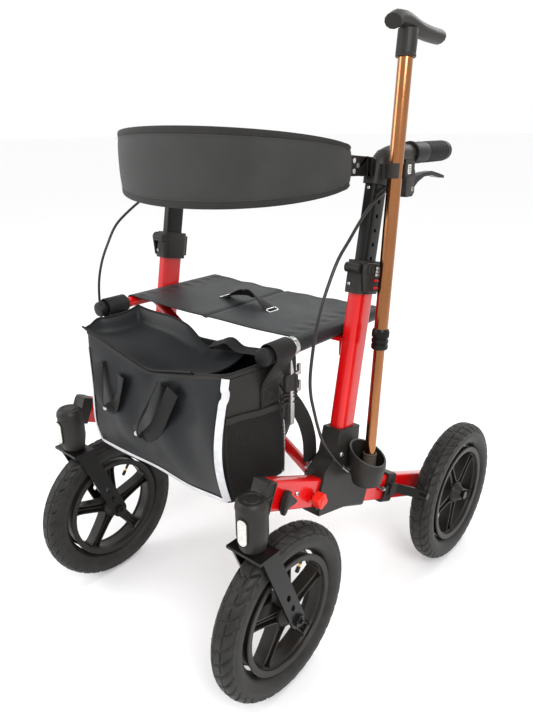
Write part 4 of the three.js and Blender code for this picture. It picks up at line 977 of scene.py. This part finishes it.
soft.append(bag_band(brim_run, np.full(260, 0.985), 9, 2.2, "brim_hem", side_cloth, 0.6))
soft.append(bag_band(brim_run, np.full(260, 0.999), 2.6, 2.6, "brim_zip", webbing, 1.6))
panel_run = np.linspace(1.09, 1.93, 40)
panel_around, panel_rise = np.meshgrid(panel_run, np.linspace(0.03, 0.96, 40), indexing="ij")
panel = bag_point(panel_around, panel_rise)
back = panel.copy()
panel[..., 0] += 1.3
sheets = np.concatenate([panel, back[::-1]])
panel_form = skin(sheets, around=False, ends=False)
soft.append(piece("bag_side_panel", [panel_form], side_cloth, BAG_BODY, crease=60))

# The net pocket is a lattice of diamonds in black cord, gathered under an elastic hem.
columns, rows = 44, 36
i, k = np.meshgrid(np.arange(columns + 1), np.arange(rows + 1), indexing="ij")
net_around = 1.10 + 0.82 * i / columns
hem_share = 0.665 - 0.075 * (net_around - 1.1)
net_rise = 0.02 + (hem_share - 0.03) * k / rows
knots = bag_point(net_around, net_rise)
knots[..., 0] += 3.2 + 4 * np.sin(math.pi * k / rows) * np.sin(math.pi * i / columns)
number = (i * (rows + 1) + k)
a, b = np.meshgrid(np.arange(columns - 1), np.arange(1, rows), indexing="ij")
alternate = (a + b) % 2 == 1
a, b = a[alternate], b[alternate]
diamonds = np.column_stack([number[a, b], number[a + 1, b - 1], number[a + 2, b], number[a + 1, b + 1]])
net_mesh = bpy.data.meshes.new("bag_net")
net_mesh.from_pydata(knots.reshape(-1, 3) / 1000, [], diamonds.tolist())
work = bmesh.new()
work.from_mesh(net_mesh)
bmesh.ops.delete(work, geom=[v for v in work.verts if not v.link_faces], context="VERTS")
work.to_mesh(net_mesh)
work.free()
net = settle("bag_net", net_mesh, webbing, BAG_BODY)
cords = net.modifiers.new("cords", "WIREFRAME")
cords.thickness = 0.0011
cords.use_even_offset = False
soft.append(net)
hem_line = np.linspace(1.08, 1.95, 50)
soft.append(bag_band(hem_line, 0.672 - 0.075 * (hem_line - 1.1), 11, 2.4, "net_hem", side_cloth, 4.2))

# The lid lies in the mouth: a stiffened panel hinged at the rear, raised in a hem along its left
# and rear edges and sunk to the front's low point.
lid_s, lid_t = np.meshgrid(np.linspace(0, 1, 70), np.linspace(0, 1, 40), indexing="ij")
lid_x = -164 + 282 * lid_s
lid_y = -320 + 122 * lid_t + 6 * np.sin(3 * lid_s)
left_far = smooth_step(-lid_x, 60, 160)
front_level = 536 + 0.24 * np.sqrt((lid_x - 8) ** 2 + 12 ** 2)
bed = front_level + (1 + 8 * np.exp(-((lid_x + 40) / 70) ** 2)) * lid_t - 9 * left_far * lid_t
bed = bed - 15 * np.sin(math.pi * lid_t) ** 0.8
left_hem = smooth_step(1 - lid_s / 0.07, 0, 1)
rear_hem = smooth_step((lid_t - 0.88) / 0.12, 0, 1) * (1 - smooth_step(lid_s, 0.45, 0.7))
raised = 21 * np.maximum(left_hem * smooth_step(lid_t, 0.02, 0.3), rear_hem)
pillow = 3 * np.sin(9 * lid_s + 2 * lid_t) * np.sin(math.pi * lid_t)
lid_z = bed + raised + pillow * (1 - lid_s) + 2
lid_top = np.stack([lid_x, lid_y, lid_z], -1)
lid_under = lid_top[::-1] - (0, 0, 3)
soft.append(piece("bag_lid", [skin(np.concatenate([lid_top, lid_under]), around=False, ends=False)],
                  bag_cloth, BAG_BODY, crease=70))
edge = np.concatenate([lid_top[::-1, 0], lid_top[0, 1:], lid_top[1:48, -1]])
zip_form = carried(rounded(3.4, 3.4, 1.5, 3), edge + (0, 0, 0.4))
soft.append(piece("lid_zip", [zip_form], webbing, BAG_BODY, crease=60))


def eased(points, steps):
    """A smooth line through points: each stretch is a cubic whose ends point along its neighbours."""
    points = np.array(points, float)
    slope = np.gradient(points, axis=0)
    at = np.linspace(0, len(points) - 1, steps)
    index = np.minimum(at.astype(int), len(points) - 2)
    t = (at - index)[:, None]
    return ((2 * t ** 3 - 3 * t ** 2 + 1) * points[index] + (t ** 3 - 2 * t ** 2 + t) * slope[index]
            + (3 * t ** 2 - 2 * t ** 3) * points[index + 1] + (t ** 3 - t ** 2) * slope[index + 1])


def strap_piece(name, path, width, up, material=webbing, thick=1.8):
    """A length of webbing through given points, eased by a spline."""
    line = eased(path, 40)
    ups = eased(up, 40) if np.ndim(up) == 2 else up
    made = piece(name, [carried(rounded(width, thick, thick * 0.4, 3), line, up=ups)], material,
                 BAG_BODY, crease=50)
    return made


soft.append(strap_piece("bag_handle_left", [(-118, -325, 526), (-112, -331, 512), (-106, -338, 486),
            (-96, -343, 462), (-82, -341, 452), (-68, -334, 462), (-60, -328, 490), (-56, -325, 516)], 24,
            [(0.1, -1, 0.1), (0.1, -1, 0.2), (0.1, -1, 0.1), (0, -1, -0.4), (0, -0.9, -0.6), (-0.3, -1, 0),
             (-0.4, -1, 0.1), (-0.2, -1, 0.1)]))
soft.append(strap_piece("bag_handle_right", [(40, -324, 528), (36, -336, 508), (26, -346, 478),
            (12, -350, 450),
            (4, -344, 434), (14, -338, 428), (40, -334, 452), (62, -332, 490), (80, -326, 526)], 25,
            [(-0.6, -0.8, 0), (-0.7, -0.7, 0.1), (-0.8, -0.5, 0.2), (-0.7, -0.6, -0.3), (-0.3, -0.6, -0.7),
             (0.3, -0.9, -0.4), (0.3, -1, -0.2), (0.2, -1, 0), (0.1, -1, 0.1)]))
rivet = [turned([(0, 2), (3, 1.6), (4.4, 0), (4.4, -2), (0, -2)], spot, (0, -1, 0.1), 18)
         for spot in ((3, -347, 436), (-84, -344.5, 455))]
soft.append(piece("handle_rivets", rivet, zinc, BAG_BODY))

for side, s in SIDES.items():
    low, high = (np.array(corner) * 1000 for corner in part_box(f"seat_grip_{side}"))
    middle_y = (low[1] + high[1]) / 2 + 6
    wall = 187 if s > 0 else 178
    carrier = BAG_BODY if s > 0 else "brace_a"
    ring = np.linspace(-0.25 * math.pi, 1.25 * math.pi, 16)
    bend_x, bend_z = s * (204 + 17 * np.cos(ring)), 590 + 17 * np.sin(ring)
    over_grip = np.column_stack([bend_x, np.full(16, middle_y), bend_z])
    path = np.concatenate([[(s * (wall + 1.5), middle_y, 500), (s * (wall + 2.5), middle_y, 536)], over_grip,
                           [(s * (wall - 4), middle_y, 556), (s * (wall - 3), middle_y, 524)]])
    line = eased(path, 70)
    outward = np.gradient(line, axis=0)
    outward = np.stack([outward[:, 2], 0 * outward[:, 1], -outward[:, 0]], -1) * s
    strip = carried(rounded(44, 1.8, 0.8, 3), line, up=outward)
    piece(f"hook_loop_{side}", [strip], webbing, carrier, crease=50)
    patch_x = s * (wall + 3.2)
    box_line = [(patch_x, middle_y - 18, 532), (patch_x, middle_y + 18, 532), (patch_x, middle_y + 18, 505),
                (patch_x, middle_y - 18, 505), (patch_x, middle_y - 18, 532), (patch_x, middle_y + 18, 505),
                (patch_x, middle_y + 17.9, 532), (patch_x, middle_y - 18, 505)]
    seam(f"loop_stitches_{side}", box_line, (s, 0.01, 0), carrier, 3.6, 2.4)

# A spare strap hangs from the right grip: a side-release buckle, a slider, and its tail with a bar.
strap_piece("spare_strap_top", [(205, -196, 577), (204, -194, 560), (203, -193, 546)], 22, (1, -0.5, 0))
buckle = [slab(rounded(22, 30, 5, 5), -3.4, 3.4, 2, lambda q: np.stack(
          [204 + q[..., 2] + 0.2 * q[..., 0], -193 + q[..., 0], 531 + q[..., 1]], -1))]
buckle += [slab(rounded(5, 24, 2.2, 4) + (way * 9.5, 0), -2.4, 4.6, 1.4, lambda q: np.stack(
           [204 + q[..., 2] + 0.2 * q[..., 0], -193 + q[..., 0], 531 + q[..., 1]], -1)) for way in (-1, 1)]
buckle += [carried(rounded(4, 4, 1.6, 3), [(200, -206, z), (208, -180, z)]) for z in (506, 497, 512)]
piece("strap_buckle", buckle, black_plastic, BAG_BODY)
strap_piece("spare_strap_tail", [(204, -193, 516), (203, -190, 502), (207, -180, 486), (211, -164, 455),
            (212, -153, 420), (211, -149, 390), (210, -149, 374)], 25, (0.95, -0.4, 0.1))
end_bar = carried(rounded(4.2, 4.2, 1.8, 4), [(216, -166, 372), (204, -132, 372)])
piece("strap_end_bar", [end_bar], zinc, BAG_BODY)
soft.append(strap_piece("rear_strap", [(170, -214, 577), (146, -210, 574), (110, -206, 569), (84, -204, 577),
            (60, -204, 568), (40, -204, 560)], 20, (0.1, -0.3, 1)))
for part in soft:
    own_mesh(part)

# ---------------------------------------------------------------------------------------------
# Brake cables: black sheathed Bowden cables from each housing down to the brake block, in a wide
# bow ahead of the upright, with steel adjusters at the saddle and at the block.
# ---------------------------------------------------------------------------------------------
cable_black = finish("cable", (0.012, 0.011, 0.010), 0.36, tone=0.12, grain=0.4, grain_scale=2600, coat=0.2)
CABLE_ROUTE = [
    (236, 45.4, 816), (242, 28, 818), (250.5, 4, 815), (252.4, -24, 808), (253.5, -53, 796), (258, -92, 775),
    (264, -131, 750), (266, -160, 727), (266, -182, 695), (266, -200, 661), (265, -212, 620),
    (262, -217, 567), (261, -214, 533), (260, -204, 502), (259, -192, 470), (258, -177, 439),
    (256.4, -150, 404), (256, -116, 366),
    (256, -77, 332.5), (257, -31, 301), (257, -2, 276), (256.3, 14, 261.5), (256.3, 28.3, 251.6),
]
for side, s in SIDES.items():
    route = eased(np.array(CABLE_ROUTE) * (s, 1, 1), 180)
    angle = np.linspace(0, 2 * math.pi, 12, endpoint=False)
    circle = np.column_stack([np.cos(angle), np.sin(angle)])
    cable = piece(f"cable_sheath_{side}", [carried(2.5 * circle, route, up=(s, 0, 0.02))], cable_black,
                  None, (f"brake_cable_{side}",), 60)
    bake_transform(cable)
    top = [carried(3.6 * circle, route[:5], up=(s, 0, 0.02))]
    piece(f"cable_ferrule_top_{side}", top, black_plastic, f"handle_{side}", crease=50)
    low_end = [carried(3.5 * circle, route[-6:-1], up=(s, 0, 0.02))]
    grooves = [turned([(0, -1.2), (4.3, -1.2), (4.3, 1.2), (0, 1.2)], route[k], route[k + 1] - route[k], 12)
               for k in (-6, -5, -4)]
    piece(f"cable_adjuster_{side}", low_end + grooves, zinc, f"{side}_frame", crease=40)
    mid = [carried(3.3 * circle, route[138:143], up=(s, 0, 0.02))]
    piece(f"cable_saddle_screw_{side}", mid, zinc, f"{side}_frame", crease=40)

# ---------------------------------------------------------------------------------------------
# Cane: two copper-anodised tubes with a knurled lock nut, a moulded palm handle and a taupe rubber
# ferrule. It stands in a beaker on the right shell, held above by an open snap clip.
# ---------------------------------------------------------------------------------------------
copper = finish("copper", (0.33, 0.125, 0.038), 0.16, metallic=1.0, tone=0.06, tone_scale=15, grain=0.03,
                coat=0.6, spread=0.03)
finished("cane_cup", black_plastic, roll=1)
finished("cane_clip", black_plastic, roll=0.8)
finished("cane_handle", black_plastic, roll=2.5, angle=60)
CANE_FOOT = np.array([283.5, -80, 343.8])
CANE_AXIS = np.array([262, 4, 1022]) - CANE_FOOT
CANE_AXIS /= np.linalg.norm(CANE_AXIS)
profile = [(9.7, 236.2), (11.2, 236.2), (11.2, 671), (9.7, 671), (9.7, 236.2)]
upper_tube = turned(profile, CANE_FOOT, CANE_AXIS, 48)
piece("upper_tube_turned", [upper_tube], copper, "cane_upper", ("cane_upper_tube",))
profile = [(0, 9.4), (8.6, 9.4), (9.2, 10), (9.2, 499.4), (8.6, 500), (0, 500)]
lower_tube = turned(profile, CANE_FOOT, CANE_AXIS, 48)
piece("lower_tube_turned", [lower_tube], copper, "cane_lower", ("cane_lower_tube",))
nut_low, nut_r = 222, 13.8
profile = [(9.7, 0), (12, 0), (nut_r, 2.4), (nut_r, 8), (nut_r - 1.2, 9), (nut_r - 1.2, 10.4), (nut_r, 11.4),
           (nut_r, 17), (nut_r - 1.4, 18), (nut_r - 1.4, 19.6), (nut_r, 20.6), (nut_r, 31), (12.4, 34),
           (11.5, 34),
           (11.5, 13.6), (9.7, 13.6), (9.7, 0)]
piece("lock_nut_turned", [turned(profile, CANE_FOOT + nut_low * CANE_AXIS, CANE_AXIS, 40)], black_steel,
      "cane_upper", ("cane_lock_nut",))
ridges = []
for k in range(26):
    turn = 2 * math.pi * k / 26
    aside = np.cross(CANE_AXIS, (0, 1, 0))
    aside /= np.linalg.norm(aside)
    out = math.cos(turn) * aside + math.sin(turn) * np.cross(CANE_AXIS, aside)
    foot = CANE_FOOT + nut_r * out
    run = [foot + (nut_low + rise) * CANE_AXIS for rise in (21.5, 26, 30)]
    ridges.append(carried(rounded(1.3, 0.9, 0.35, 2), run, up=out))
piece("lock_nut_ridges", ridges, black_steel, "cane_upper")
ferrule_rubber = finish("ferrule", (0.085, 0.066, 0.052), 0.6, tone=0.12, grain=0.35, grain_scale=1300)
profile = [(0, 0), (11.4, 0), (12.6, 1.2), (12.6, 3), (12, 3.6), (12.6, 4.2), (12.6, 6), (12, 6.6),
           (12.4, 7.4),
           (11.7, 11), (11.3, 38), (12, 39), (12, 41.2), (11.2, 42), (9.9, 42), (9.9, 9), (0, 9)]
ferrule_form = turned(profile, CANE_FOOT, CANE_AXIS, 36)
piece("ferrule_turned", [ferrule_form], ferrule_rubber, "cane_foot", ("cane_ferrule",))
collar = [turned([(11.25, 0), (14.6, 0), (15.2, 1), (15.2, 3), (14.4, 4), (11.25, 4), (11.25, 0)],
                 CANE_FOOT + 660 * CANE_AXIS, CANE_AXIS, 36)]
piece("cane_handle_ring", collar, black_plastic, "cane_upper")
ribs = []
for k in range(5):
    turn = 1.9 + 0.42 * k
    aside = np.array([math.cos(turn), math.sin(turn), 0])
    foot = CANE_FOOT + 500 * CANE_AXIS + 15 * aside
    ribs.append(carried(rounded(1.6, 1.2, 0.5, 3), [foot + a * CANE_AXIS for a in (-9, 0, 9)], up=aside))
piece("clip_ribs", ribs, black_plastic, "handle_right")
